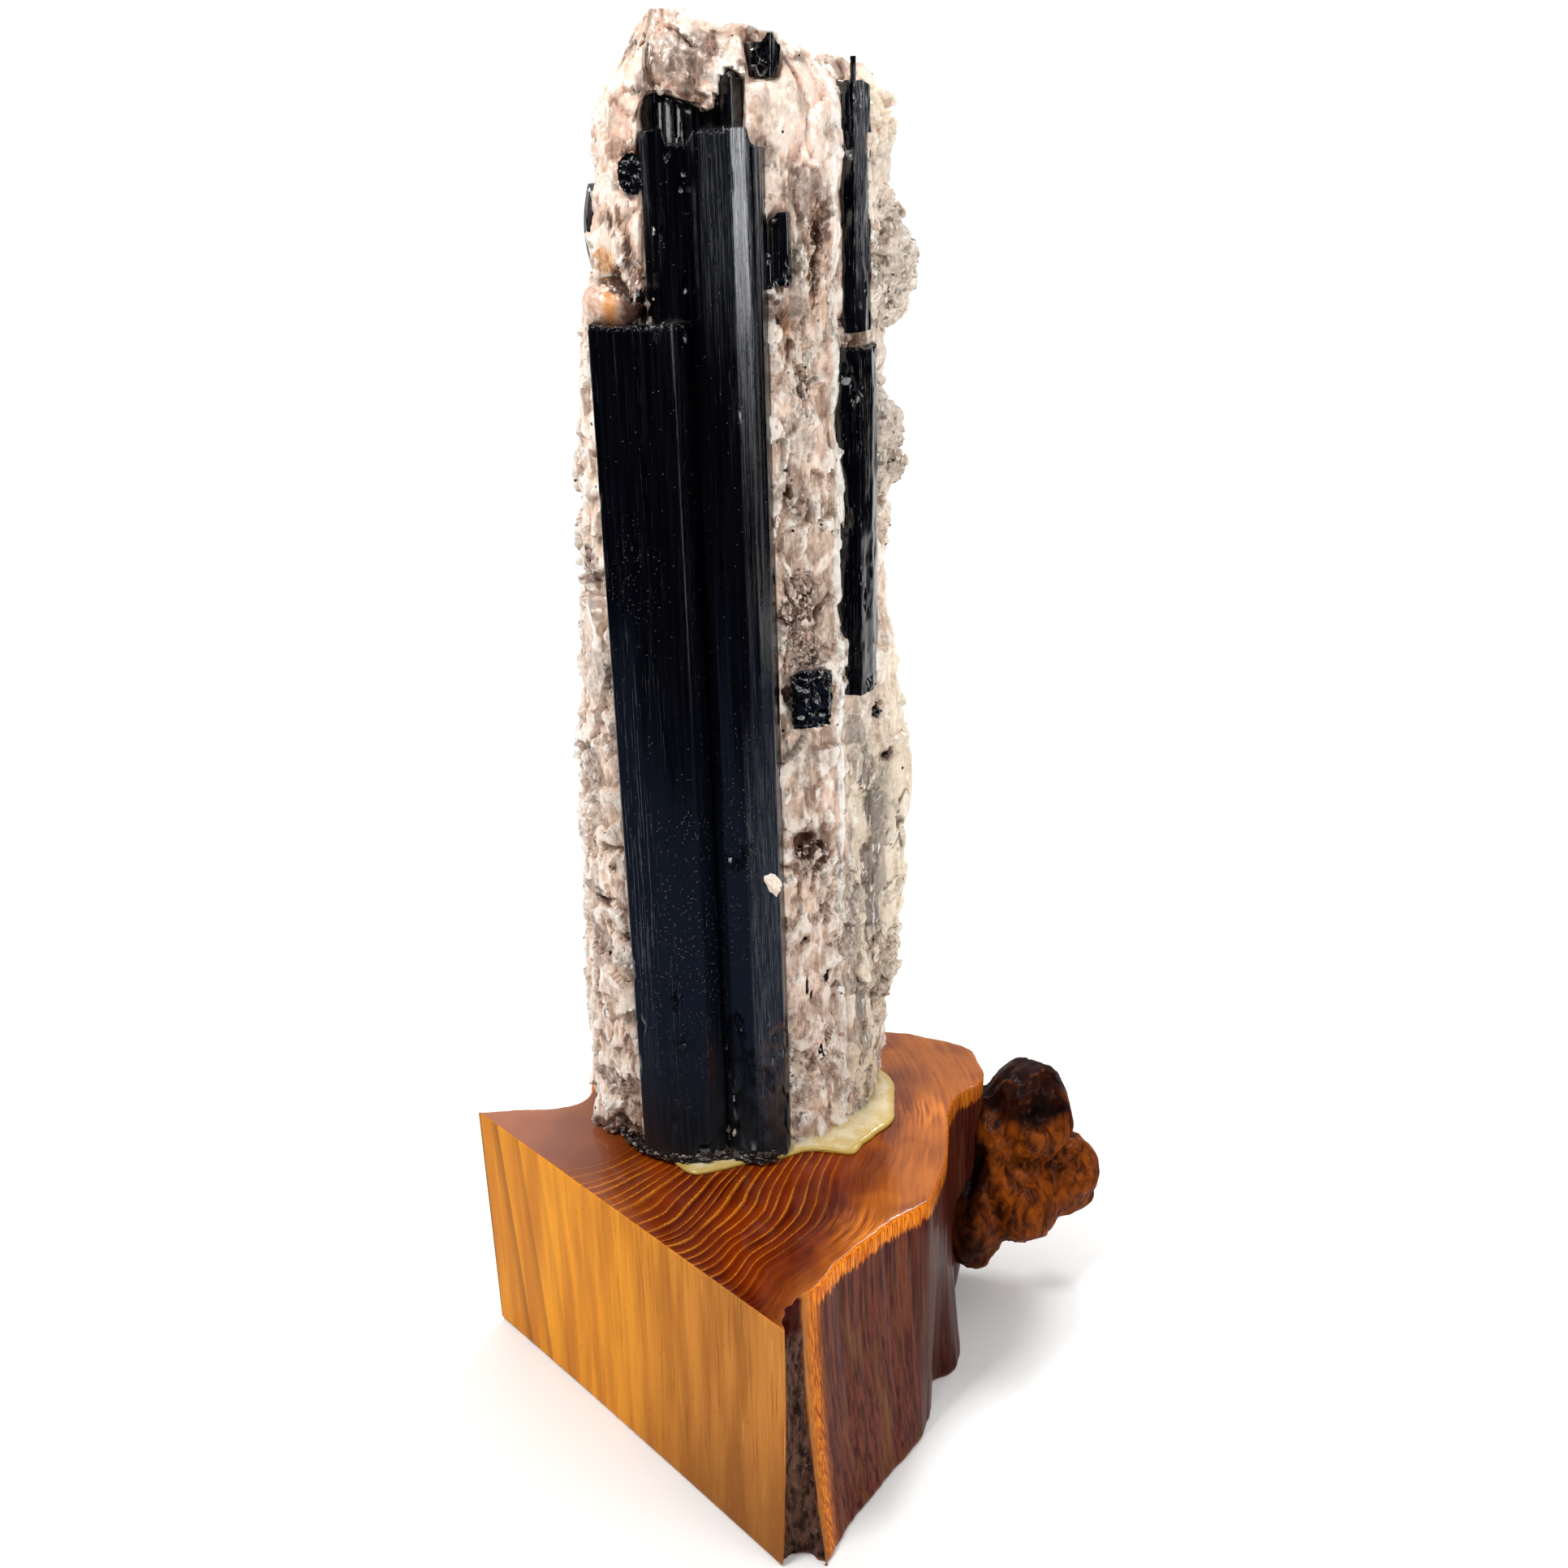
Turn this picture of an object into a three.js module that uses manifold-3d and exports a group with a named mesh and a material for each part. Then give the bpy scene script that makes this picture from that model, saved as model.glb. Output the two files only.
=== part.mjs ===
// A tall black tourmaline specimen in its host rock, glued upright on a varnished wedge of wood.
// Millimetres, +Z up. Shapes are laid out around the stone's upright axis, with x to the right,
// y away from the front and z above the table. The finished group is then moved so that its origin
// is the centre of the footprint, on the table.

import * as THREE from 'three';
import { mergeVertices } from 'three/addons/utils/BufferGeometryUtils.js';
import Module from 'manifold-3d';

const wasm = await Module();
wasm.setup();

// Driving dimensions.
const BLOCK_HEIGHT = 66;
const GAP = 0.3;
const GLUE_THICKNESS = 1.0;
const CRYSTAL_TOP = 295.5;
const PRISM_TOP = 261;
const STONE_TOP = 317;

// Where the stone's foot stands: on the glue, which lies on the block.
const GLUE_FOOT = BLOCK_HEIGHT + GAP;
const STONE_FOOT = GLUE_FOOT + GLUE_THICKNESS + GAP;

// How a crystal's growth ribs are cut.
const RIB_PITCH = 2.2;
const RIB_DEPTH = 0.35;

// ---------------------------------------------------------------------------------------------
// Helpers
// ---------------------------------------------------------------------------------------------

/** A manifold solid with the geometry's shape. */
function solidOf(geometry) {
  const bare = geometry.clone();
  bare.deleteAttribute('normal');
  bare.deleteAttribute('uv');
  const merged = mergeVertices(bare, 1e-4);
  const mesh = new wasm.Mesh({
    numProp: 3,
    vertProperties: new Float32Array(merged.attributes.position.array),
    triVerts: new Uint32Array(merged.index.array),
  });
  return new wasm.Manifold(mesh);
}

/** The flat-shaded geometry of a manifold solid. */
function geometryOf(solid) {
  const { vertProperties, triVerts } = solid.getMesh();
  const geometry = new THREE.BufferGeometry();
  geometry.setAttribute('position', new THREE.Float32BufferAttribute(vertProperties, 3));
  geometry.setIndex(Array.from(triVerts));
  const flat = geometry.toNonIndexed();
  flat.computeVertexNormals();
  return flat;
}

/** A quantity that is known at a few heights, eased between them: knots are [height, value]. */
function eased(knots, height) {
  const last = knots.length - 1;
  if (height <= knots[0][0]) return knots[0][1];
  if (height >= knots[last][0]) return knots[last][1];
  const next = knots.findIndex(([level]) => level > height);
  const [lowHeight, lowValue] = knots[next - 1];
  const [highHeight, highValue] = knots[next];
  const share = THREE.MathUtils.smoothstep(height, lowHeight, highHeight);
  return THREE.MathUtils.lerp(lowValue, highValue, share);
}

/** The points of an outline as vectors. */
function vectors(outline) {
  return outline.map(([x, y]) => new THREE.Vector2(x, y));
}

/** A closed smooth curve through the points, as a list of evenly spread points. */
function smoothLoop(points, count) {
  const curve = new THREE.CatmullRomCurve3(
    points.map(([x, y]) => new THREE.Vector3(x, y, 0)),
    true,
    'centripetal',
  );
  return curve.getSpacedPoints(count).slice(0, count).map((p) => new THREE.Vector2(p.x, p.y));
}

/**
 * A closed column with the outline's number of sides. place(index, share) gives where a corner of
 * the outline goes, with share running from 0 at the foot to 1 at the top.
 */
function column(outline, levels, place) {
  const geometry = new THREE.ExtrudeGeometry(new THREE.Shape(outline), {
    depth: 1,
    steps: levels,
    bevelEnabled: false,
  });
  const keyOf = (x, y) => `${x.toFixed(3)} ${y.toFixed(3)}`;
  const indexOf = new Map(outline.map((point, index) => [keyOf(point.x, point.y), index]));
  const position = geometry.attributes.position;
  for (let vertex = 0; vertex < position.count; vertex += 1) {
    const index = indexOf.get(keyOf(position.getX(vertex), position.getY(vertex)));
    const placed = place(index, position.getZ(vertex));
    position.setXYZ(vertex, placed.x, placed.y, placed.z);
  }
  return geometry;
}

/** The outline moved outwards by a distance. It runs anticlockwise. */
function grown(outline, distance) {
  const count = outline.length;
  return outline.map((corner, index) => {
    const before = outline[(index + count - 1) % count];
    const after = outline[(index + 1) % count];
    const inward = corner.clone().sub(before).normalize();
    const outward = after.clone().sub(corner).normalize();
    const normal = new THREE.Vector2(inward.y + outward.y, -inward.x - outward.x).normalize();
    const spread = Math.max(0.5, normal.dot(new THREE.Vector2(outward.y, -outward.x)));
    return corner.clone().addScaledVector(normal, distance / spread);
  });
}

/** The outline with shallow growth ribs along its sides. */
function ribbed(outline) {
  const result = [];
  outline.forEach((corner, index) => {
    const next = outline[(index + 1) % outline.length];
    const side = next.clone().sub(corner);
    const ribs = Math.max(1, Math.round(side.length() / RIB_PITCH));
    const inward = new THREE.Vector2(-side.y, side.x).normalize();
    for (let rib = 0; rib < ribs; rib += 1) {
      result.push(corner.clone().addScaledVector(side, rib / ribs));
      const valley = corner.clone().addScaledVector(side, (rib + 0.5) / ribs);
      result.push(valley.addScaledVector(inward, RIB_DEPTH));
    }
  });
  return result;
}

/**
 * An upright crystal: { outline, foot, top, lean } with lean the drop of its top face per
 * millimetre to the right. A clearance gives the pocket that it sits in.
 */
function crystalSolid({ outline, foot, top, lean = 0 }, clearance = 0) {
  const sides = vectors(outline);
  const edge = clearance > 0 ? grown(sides, clearance) : ribbed(sides);
  const geometry = column(edge, 1, (index, share) => {
    const { x, y } = edge[index];
    const level = share > 0.5 ? top + clearance - lean * x : foot - clearance;
    return new THREE.Vector3(x, y, level);
  });
  return solidOf(geometry);
}

/** Several crystals grown into one. */
function crystalGroup(crystals, clearance = 0) {
  return crystals
    .map((crystal) => crystalSolid(crystal, clearance))
    .reduce((whole, crystal) => whole.add(crystal));
}

/** A rounded lump with an uneven surface: radii are [x, y, z], bumps is the unevenness. */
function lump(centre, radii, detail, bumps) {
  const geometry = new THREE.IcosahedronGeometry(1, detail);
  const position = geometry.attributes.position;
  const point = new THREE.Vector3();
  for (let vertex = 0; vertex < position.count; vertex += 1) {
    point.fromBufferAttribute(position, vertex);
    const wave = Math.sin(5.1 * point.x + centre[2]) * Math.cos(4.3 * point.z + centre[0]);
    const ripple = Math.sin(9.7 * point.y + 7.9 * point.z + centre[1]);
    const reach = 1 + bumps * (wave + 0.5 * ripple);
    position.setXYZ(
      vertex,
      centre[0] + radii[0] * reach * point.x,
      centre[1] + radii[1] * reach * point.y,
      centre[2] + radii[2] * reach * point.z,
    );
  }
  return solidOf(geometry);
}

/** A solid as a named mesh with a material of its own. */
function part(name, solid, colour, roughness) {
  const material = new THREE.MeshStandardMaterial({ color: colour, roughness, metalness: 0 });
  const mesh = new THREE.Mesh(geometryOf(solid), material);
  mesh.name = name;
  return mesh;
}

// ---------------------------------------------------------------------------------------------
// Black crystals, as outlines seen from above with their heights
// ---------------------------------------------------------------------------------------------

const leftPrism = {
  outline: [
    [-24, -28], [-18.5, -31], [-13, -32.4], [-8, -32], [-3.5, -30],
    [0, -20], [-5, -10], [-16, -9], [-22.5, -17],
  ],
  foot: STONE_FOOT,
  top: PRISM_TOP,
};

const ridgeCrystal = {
  outline: [
    [-5, -28], [-2, -31], [1.5, -32.6], [5, -33.4], [8, -31.8], [10.4, -29.6],
    [11.4, -26], [11.6, -21], [8, -12], [-1, -10], [-6, -17],
  ],
  foot: STONE_FOOT,
  top: CRYSTAL_TOP,
};

const steppedPart = {
  outline: [[-12.2, -25], [-9, -27.3], [-4.5, -27.5], [-1.5, -26], [-1, -17], [-8, -12], [-12, -16]],
  foot: PRISM_TOP - 20,
  top: CRYSTAL_TOP + 0.5,
};

const backStub = {
  outline: [[-10.4, -19], [-7.3, -20.6], [-4, -19.4], [-3.4, -13], [-10, -12]],
  foot: PRISM_TOP + 10,
  top: 302,
};

const slopingPart = {
  outline: [[-6, -18.5], [-1, -19.5], [3.6, -19], [4.4, -12], [-6, -12]],
  foot: PRISM_TOP + 10,
  top: 298,
  lean: 0.4,
};

const roundedPart = {
  outline: [[3.3, -14], [4.6, -17], [6.6, -17.4], [8, -15.4], [7.8, -11], [4, -10.5]],
  foot: PRISM_TOP + 10,
  top: 305.5,
};

const mainGroup = [leftPrism, ridgeCrystal, steppedPart, backStub, slopingPart, roundedPart];

const separateCrystals = {
  top_crystal: {
    outline: [[8.4, -20.6], [9.4, -22.6], [13, -22.8], [15, -20.8], [13.6, -16], [9.6, -16.2]],
    foot: 304.4,
    top: 311.2,
  },
  small_crystal: {
    outline: [[12.2, -22], [12.4, -26.8], [15.6, -26.4], [16.2, -23.6], [15.4, -17], [12.6, -17.4]],
    foot: 267,
    top: 280.5,
  },
  rough_crystal: {
    outline: [[13.2, -21.5], [14, -25.4], [18, -26], [22.6, -23.6], [23.6, -19], [21, -12], [14.6, -14]],
    foot: 174.8,
    top: 187.6,
  },
  side_tourmaline_upper: {
    outline: [
      [26.2, -13.8], [29.2, -14.8], [32.2, -11.2], [34.2, -7.6], [33.6, -3.6], [26.5, -1.5], [23.8, -6.5],
    ],
    foot: 256.4,
    top: 303.6,
  },
  side_spike: {
    outline: [[28.5, -8.8], [29.8, -9.2], [30.1, -6.8], [28.8, -6.2]],
    foot: 303.9,
    top: 308,
  },
  side_tourmaline_lower: {
    outline: [
      [24.9, -13.8], [29.8, -15.4], [32.8, -11.2], [34, -7.4], [33, -3.4], [26, -1.5], [22.8, -6.6],
    ],
    foot: 178.4,
    top: 253.6,
  },
  sliver_crystal: {
    outline: [[-25.4, -6.6], [-24.4, -8], [-22.6, -6.4], [-22.6, -2.6], [-24.6, -1.8], [-25.8, -4.2]],
    foot: 269,
    top: 286,
  },
};

/** The small crystal that lies with its end to the front. */
function endOnCrystal(clearance = 0) {
  const shape = new THREE.CylinderGeometry(1, 1, 1, 14);
  shape.scale(2.1 + clearance, 9 + 2 * clearance, 3.6 + clearance);
  shape.translate(-14.7, -20.8, 288);
  return solidOf(shape);
}

// ---------------------------------------------------------------------------------------------
// Host rock
// ---------------------------------------------------------------------------------------------

// The rock's left and right edges, by height.
const rockLeft = [
  [68, -38], [100, -38.4], [145, -36.8], [190, -33.4], [240, -30], [262, -28.4], [285, -25.4],
  [305, -23.4],
];
const rockRight = [
  [68, 34.6], [90, 36], [102, 39], [130, 41.2], [160, 42.2], [186, 38.8], [200, 35.8], [262, 35.6],
  [310, 36.6],
];
// Its front left corner, left of the prism.
const rockCorner = [[68, -30.6], [145, -28], [240, -26], [262, -25.4], [285, -23], [305, -20.4]];
// The highest point over each place from left to right.
const rockCrown = [
  [-22, 303], [-17, 307.5], [-14, 311], [-9, STONE_TOP], [-2, 314.4], [4, 312.4], [9, 313.2],
  [15, 311.8], [21, 309.6], [27, 307.6], [37, 307],
];
const ROCK_SIDES = 38;
const ROCK_LEVELS = 30;
const SHOULDER = 0.965;
const CLEAVAGE_HEIGHT = 9;
const CLEAVAGE_ANGLE = 0.45;
const CLEAVAGE_SHIFT = 0.16;

/** The rock's outline at a height: corners of a rough five-sided pillar, rounded off. */
function rockOutline(height) {
  const left = eased(rockLeft, height);
  const right = eased(rockRight, height);
  const corner = eased(rockCorner, height);
  return smoothLoop(
    [
      [left, 2], [left + 2.5, -11], [corner, -21], [corner + 7, -24.5], [-4, -25.5], [10, -25.5],
      [18, -22], [25, -15.5], [30.5, -9], [right - 2, -2], [right, 6], [right - 2, 18],
      [24, 27], [6, 31], [-16, 29], [left + 5, 18],
    ],
    ROCK_SIDES,
  );
}

/** How far the broken rock stands out or in, at a point on its side: one value for each block. */
function brokenBy(angle, height) {
  const row = Math.floor(height / CLEAVAGE_HEIGHT);
  const block = Math.floor((angle + CLEAVAGE_SHIFT * (row % 3)) / CLEAVAGE_ANGLE);
  return 0.9 * Math.sin(12.9 * row + 78.2 * block) + 0.3 * Math.sin(height / 17 + 2 * angle);
}

/** The host rock before its pockets are cut. */
function rockPillar() {
  const start = rockOutline(STONE_FOOT);
  return column(start, ROCK_LEVELS, (index, share) => {
    const flat = rockOutline(STONE_FOOT + share * (STONE_TOP - STONE_FOOT))[index];
    const crown = eased(rockCrown, flat.x);
    const height = STONE_FOOT + share * (crown - STONE_FOOT);
    const round = share > SHOULDER ? 1 - 4 * (share - SHOULDER) : 1;
    const edge = share > 0 && share < 1 ? brokenBy(Math.atan2(flat.y, flat.x), height) : 0;
    const reach = round * (1 + edge / flat.length());
    return new THREE.Vector3(flat.x * reach, flat.y * reach, height);
  });
}

/** The host rock, with a pocket around each crystal. */
function hostRock() {
  let rock = solidOf(rockPillar());
  // Knobs that stand out from the right edge and the rounded nodule on the prism's ledge.
  rock = rock.add(lump([35, 6, 268], [8.6, 8, 15], 3, 0.04));
  rock = rock.add(lump([33.4, 5, 231], [7, 7, 13], 3, 0.04));
  rock = rock.add(lump([-19, -21.5, 264.6], [6.4, 6.2, 5.4], 3, 0.02));
  // The break above the crystals, where the rock's face steps back.
  const step = {
    outline: [[-13.6, -45], [8.6, -45], [8.4, -15], [2, -12.5], [-8, -12.5], [-13.6, -17]],
    foot: CRYSTAL_TOP + 1,
    top: STONE_TOP + 20,
  };
  rock = rock.subtract(crystalSolid(step, GAP));
  // The shallow notch that the top crystal stands in.
  const notch = {
    outline: [[8, -45], [15.8, -45], [15.8, -21.6], [8, -21.6]],
    foot: 303.8,
    top: STONE_TOP + 20,
  };
  rock = rock.subtract(crystalSolid(notch, GAP));
  rock = rock.subtract(crystalGroup(mainGroup, GAP));
  Object.values(separateCrystals).forEach((crystal) => {
    rock = rock.subtract(crystalSolid(crystal, GAP));
  });
  rock = rock.subtract(endOnCrystal(GAP));
  // Cuts can leave chips of rock that hang on nothing: only the pillar is kept.
  return rock.decompose().reduce((most, piece) => (piece.volume() > most.volume() ? piece : most));
}

// ---------------------------------------------------------------------------------------------
// Wood
// ---------------------------------------------------------------------------------------------

// The slice from above: [x, y] at the top and [x, y] at the foot of each corner, anticlockwise from
// the left end. The saw cut runs straight from the left end to the front corner.
const slice = [
  [-68, -7, -68, -7.4],
  [-42, -34.7, -42.6, -34.8],
  [-16, -62.4, -17.6, -62.4],
  [9, -89, 6.8, -89.6],
  // bark groove
  [9.8, -84.5, 9.4, -87],
  [11, -82, 13.6, -87.4],
  // live edge, with its foot flared outwards
  [13.4, -79, 17, -90.4],
  [23, -66, 26.5, -73],
  [33, -55.4, 37, -59.4],
  [43, -47, 43.6, -48.6],
  [47.6, -34, 45.6, -35.6],
  // second lobe
  [49.4, -25, 52.4, -31],
  [51, -14, 54, -18],
  [54, -6, 54, -7],
  [61, 0, 55, 1],
  [62, 8, 56, 9],
  [60, 17, 54.6, 18],
  [49, 24, 47, 26],
  [39, 27, 38.6, 29.4],
  // rear, behind the stone
  [22, 34, 21, 35.4],
  [2, 37, 1, 38],
  [-18, 35, -19, 36],
  [-32, 25, -34, 26],
  [-38.6, 11, -40.4, 12],
  [-41.6, -1.6, -44, -0.6],
  [-47, -5.2, -49, -4.4],
  [-57, -6, -58, -5.6],
];
const SLICE_LEVELS = 8;
const RIB_SWAY = 0.5;

/** The wedge-shaped slice, grown by a clearance all round. */
function woodSlice(clearance = 0) {
  const tops = grown(vectors(slice.map(([x, y]) => [x, y])), clearance);
  const feet = grown(vectors(slice.map(([, , x, y]) => [x, y])), clearance);
  const geometry = column(tops, SLICE_LEVELS, (index, share) => {
    const flare = (1 - share) * (1 - share);
    const flat = tops[index].clone().lerp(feet[index], flare);
    // The grown sides sway a little from level to level, and the saw cut stays flat.
    const sway = index > 5 ? RIB_SWAY * Math.sin(2.1 * index + 9 * share) * share * (1 - share) * 4 : 0;
    const height = -clearance + share * (BLOCK_HEIGHT + 2 * clearance);
    return new THREE.Vector3(flat.x + sway, flat.y, height);
  });
  return solidOf(geometry);
}

/** The gnarled stub on the slice's right rear, cut back from the slice. */
function burlKnob() {
  const lobes = [
    lump([75, 7, 51], [12.5, 14, 16], 4, 0.06),
    lump([84.6, 8, 31], [11, 14, 13], 4, 0.07),
    lump([71, 5, 28], [14, 17, 17], 4, 0.05),
    lump([60, 3, 23], [11, 14, 20], 4, 0.05),
    lump([64, 6, 46], [9, 13, 14], 4, 0.05),
  ];
  const whole = lobes.reduce((sum, lobe) => sum.add(lobe)).subtract(woodSlice(GAP));
  return whole.decompose().reduce((most, piece) => (piece.volume() > most.volume() ? piece : most));
}

// ---------------------------------------------------------------------------------------------
// Glue
// ---------------------------------------------------------------------------------------------

// The cured pool's edge: it shows in front and on the right, and stays under the stone elsewhere.
const glueEdge = [
  [-33, -8], [-22, -24], [-15, -33.6], [-11.4, -36], [-6, -34.6], [2, -32], [9, -30.4], [15.4, -27.8],
  [21.4, -28.6], [26.6, -29.4], [29.4, -25.6], [33, -21.4], [37.4, -16], [38.2, -8], [38.8, 0],
  [36.6, 5.6], [32, 12], [20, 24], [0, 28], [-20, 25], [-33, 10],
];
const GLUE_SIDES = 60;

/** The flat pool of cured resin under the stone. */
function glueBed() {
  const edge = smoothLoop(glueEdge, GLUE_SIDES);
  return solidOf(column(edge, 1, (index, share) => {
    const { x, y } = edge[index];
    return new THREE.Vector3(x, y, GLUE_FOOT + share * GLUE_THICKNESS);
  }));
}

// ---------------------------------------------------------------------------------------------
// Assembly
// ---------------------------------------------------------------------------------------------

const BLACK = 0x14161c;

const specimen = new THREE.Group();
specimen.add(part('wood_base', woodSlice(), 0x9a5a1c, 0.3));
specimen.add(part('burl_knob', burlKnob(), 0x6b3517, 0.35));
specimen.add(part('glue_bed', glueBed(), 0xe8d68a, 0.2));
specimen.add(part('matrix', hostRock(), 0xd8c2b4, 0.6));
specimen.add(part('main_tourmaline', crystalGroup(mainGroup), BLACK, 0.3));
Object.entries(separateCrystals).forEach(([name, crystal]) => {
  specimen.add(part(name, crystalSolid(crystal), BLACK, 0.35));
});
specimen.add(part('round_crystal', endOnCrystal(), BLACK, 0.4));

// The origin is the centre of the footprint, on the table.
const box = new THREE.Box3().setFromObject(specimen);
const centre = box.getCenter(new THREE.Vector3());
specimen.position.set(-centre.x, -centre.y, -box.min.z);

export default specimen;
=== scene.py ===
"""Looks of the black tourmaline specimen: host rock, crystals, glue and varnished wood.

Shapes are laid out in millimetres around the stone's upright axis, with x to the right, y away
from the front and z above the table, as the frame was. `placed` moves them into the row frame.
"""

import itertools
import math

import bmesh
import bpy
import numpy as np
from mathutils import Matrix, Vector
from mathutils.geometry import delaunay_2d_cdt


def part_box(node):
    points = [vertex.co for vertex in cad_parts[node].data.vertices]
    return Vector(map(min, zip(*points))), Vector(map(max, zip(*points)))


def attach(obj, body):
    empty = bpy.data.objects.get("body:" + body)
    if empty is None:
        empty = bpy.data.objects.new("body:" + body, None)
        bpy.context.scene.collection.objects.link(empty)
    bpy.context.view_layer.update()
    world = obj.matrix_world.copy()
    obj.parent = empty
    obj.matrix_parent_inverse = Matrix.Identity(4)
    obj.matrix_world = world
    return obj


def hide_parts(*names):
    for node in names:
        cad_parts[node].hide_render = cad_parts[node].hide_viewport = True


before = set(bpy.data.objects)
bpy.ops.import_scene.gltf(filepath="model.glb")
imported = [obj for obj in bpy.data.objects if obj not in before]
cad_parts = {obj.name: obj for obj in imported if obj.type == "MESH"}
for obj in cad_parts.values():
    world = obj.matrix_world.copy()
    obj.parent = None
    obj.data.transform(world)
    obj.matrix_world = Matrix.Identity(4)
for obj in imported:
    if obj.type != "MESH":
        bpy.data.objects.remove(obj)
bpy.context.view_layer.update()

MM = 0.001
BLOCK_TOP = 66
STONE_FOOT = 67
STONE_TOP = 317
SLICE_LEFT = -68
SLICE_FRONT = -90.4

wood_low, wood_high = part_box("wood_base")
ROW_SHIFT = np.array([wood_low.x / MM - SLICE_LEFT, wood_low.y / MM - SLICE_FRONT, 0])

# ==== Numbers and noise =========================================================================


def placed(points):
    """Points in millimetres around the stone's axis, as metres in the row frame."""
    return (np.asarray(points, float) + ROW_SHIFT) * MM


def smooth(values, low, high):
    """0 below low, 1 above high, eased between."""
    share = np.clip((values - low) / (high - low), 0, 1)
    return share * share * (3 - 2 * share)


def span(values, low, full, still, gone):
    """Rises from 0 to 1 between low and full, and falls back between still and gone."""
    return smooth(values, low, full) * (1 - smooth(values, still, gone))


def bell(values, middle, width):
    """1 at the middle, falling away over about a width to both sides."""
    return np.exp(-(((values - middle) / width) ** 2))


def eased(knots, heights):
    """A quantity known at a few heights, eased between them. Knots are (height, value)."""
    levels, values = np.array(knots, float).T
    upper = np.clip(np.searchsorted(levels, heights), 1, len(levels) - 1)
    share = smooth((heights - levels[upper - 1]) / (levels[upper] - levels[upper - 1]), 0, 1)
    return values[upper - 1] + (values[upper] - values[upper - 1]) * share


def along(knots, values):
    """A quantity known at a few places, in straight lines between them. Knots are (place, value)."""
    return np.interp(values, *np.array(knots, float).T)


def hashed(lattice, seed):
    """A repeatable number from 0 to 1 for each whole-number point."""
    x, y, z = (lattice[..., axis].astype(np.int64) for axis in range(3))
    mixed = (x * 73856093) ^ (y * 19349663) ^ (z * 83492791) ^ (seed * 40503)
    mixed = ((mixed ^ (mixed >> 13)) * 1274126177) & 0x7FFFFFFF
    mixed = ((mixed ^ (mixed >> 15)) * 668265263) & 0x7FFFFFFF
    return ((mixed ^ (mixed >> 14)) & 0xFFFFFF) / float(0x1000000)


def noise(points, size, seed):
    """Smooth random values from -1 to 1 with features of the given size."""
    scaled = points / np.broadcast_to(np.asarray(size, float), (3,))
    base = np.floor(scaled)
    share = smooth(scaled - base, 0, 1)
    total = np.zeros(points.shape[:-1])
    for corner in itertools.product((0, 1), repeat=3):
        weight = np.prod(np.where(corner, share, 1 - share), axis=-1)
        total += weight * hashed(base + corner, seed)
    return 2 * total - 1


def swayed(points, size, seed, reach):
    """Points moved about by up to a reach."""
    return points + reach * np.stack([noise(points, size, seed + axis) for axis in range(3)], -1)


def layered(points, size, seed, layers=3):
    """Noise with finer layers added, from about -1 to 1."""
    size = np.asarray(size, float)
    total = sum(noise(points, size / 2**n, seed + n) / 2**n for n in range(layers))
    return total / (2 - 0.5 ** (layers - 1))


def cells(points, size, seed):
    """Broken blocks: each point's block, its place in it in millimetres, and its edge distance."""
    size = np.broadcast_to(np.asarray(size, float), (3,))
    scaled = points / size
    base = np.floor(scaled)
    nearest = np.full(points.shape[:-1], 9.0)
    second = nearest.copy()
    block, inside = np.zeros(points.shape), np.zeros(points.shape)
    for step in itertools.product((-1, 0, 1), repeat=3):
        corner = base + step
        spot = np.stack([hashed(corner, seed + axis) for axis in range(3)], -1)
        away = scaled - (corner + 0.1 + 0.8 * spot)
        distance = np.sqrt((away * away).sum(-1))
        closer = distance < nearest
        second = np.where(closer, nearest, np.minimum(second, distance))
        nearest = np.where(closer, distance, nearest)
        block = np.where(closer[..., None], corner, block)
        inside = np.where(closer[..., None], away, inside)
    return block, inside * size, second - nearest


def reach_of(points, row):
    """How far points are from a place, in its radii. A row is the place's centre and radii."""
    centre, radii = np.reshape(np.array(row, float), (2, 3))
    away = (points - centre) / radii
    return np.sqrt((away * away).sum(-1))


def patch(points, row, seed, ragged=0.35):
    """1 inside a ragged rounded patch, 0 outside."""
    uneven = ragged * layered(points, min(row[3:]) * 0.7, seed)
    return 1 - smooth(reach_of(points, row) + uneven, 0.75, 1.05)


def patches(points, rows, seed, ragged=0.35):
    """The strongest of several patches."""
    total = np.zeros(points.shape[:-1])
    for number, row in enumerate(rows):
        total = np.maximum(total, patch(points, row, seed + 7 * number, ragged))
    return total


# ==== Outlines and meshes =======================================================================


def spline(corners, spots, sharp=()):
    """Points of a closed curve through the corners; a spot counts corners along it."""
    count = corners.shape[-2]
    index = np.floor(spots).astype(int) % count
    share = (spots - np.floor(spots))[:, None]
    after = (index + 1) % count
    here, there = corners[..., index, :], corners[..., after, :]
    before, beyond = corners[..., (index - 1) % count, :], corners[..., (index + 2) % count, :]
    before = np.where(np.isin(index, sharp)[:, None], 2 * here - there, before)
    beyond = np.where(np.isin(after, sharp)[:, None], 2 * there - here, beyond)
    first = there - before
    square = 2 * before - 5 * here + 4 * there - beyond
    cube = beyond - before + 3 * (here - there)
    return 0.5 * (2 * here + first * share + square * share**2 + cube * share**3)


def spots_of(counts):
    """Spots along a closed curve, with the given number in each stretch between corners."""
    return np.concatenate([place + np.arange(n) / n for place, n in enumerate(counts)])


def outward(loops):
    """Unit normals in plan of closed anticlockwise loops."""
    ahead = np.roll(loops, -1, axis=-2) - np.roll(loops, 1, axis=-2)
    normal = np.stack([ahead[..., 1], -ahead[..., 0]], -1)
    return normal / np.maximum(np.linalg.norm(normal, axis=-1, keepdims=True), 1e-9)


def run_of(loop):
    """How far each point of a closed loop is from its first, along the loop."""
    steps = np.linalg.norm(np.diff(loop, axis=0), axis=1)
    return np.concatenate([[0], np.cumsum(steps)])


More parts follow.
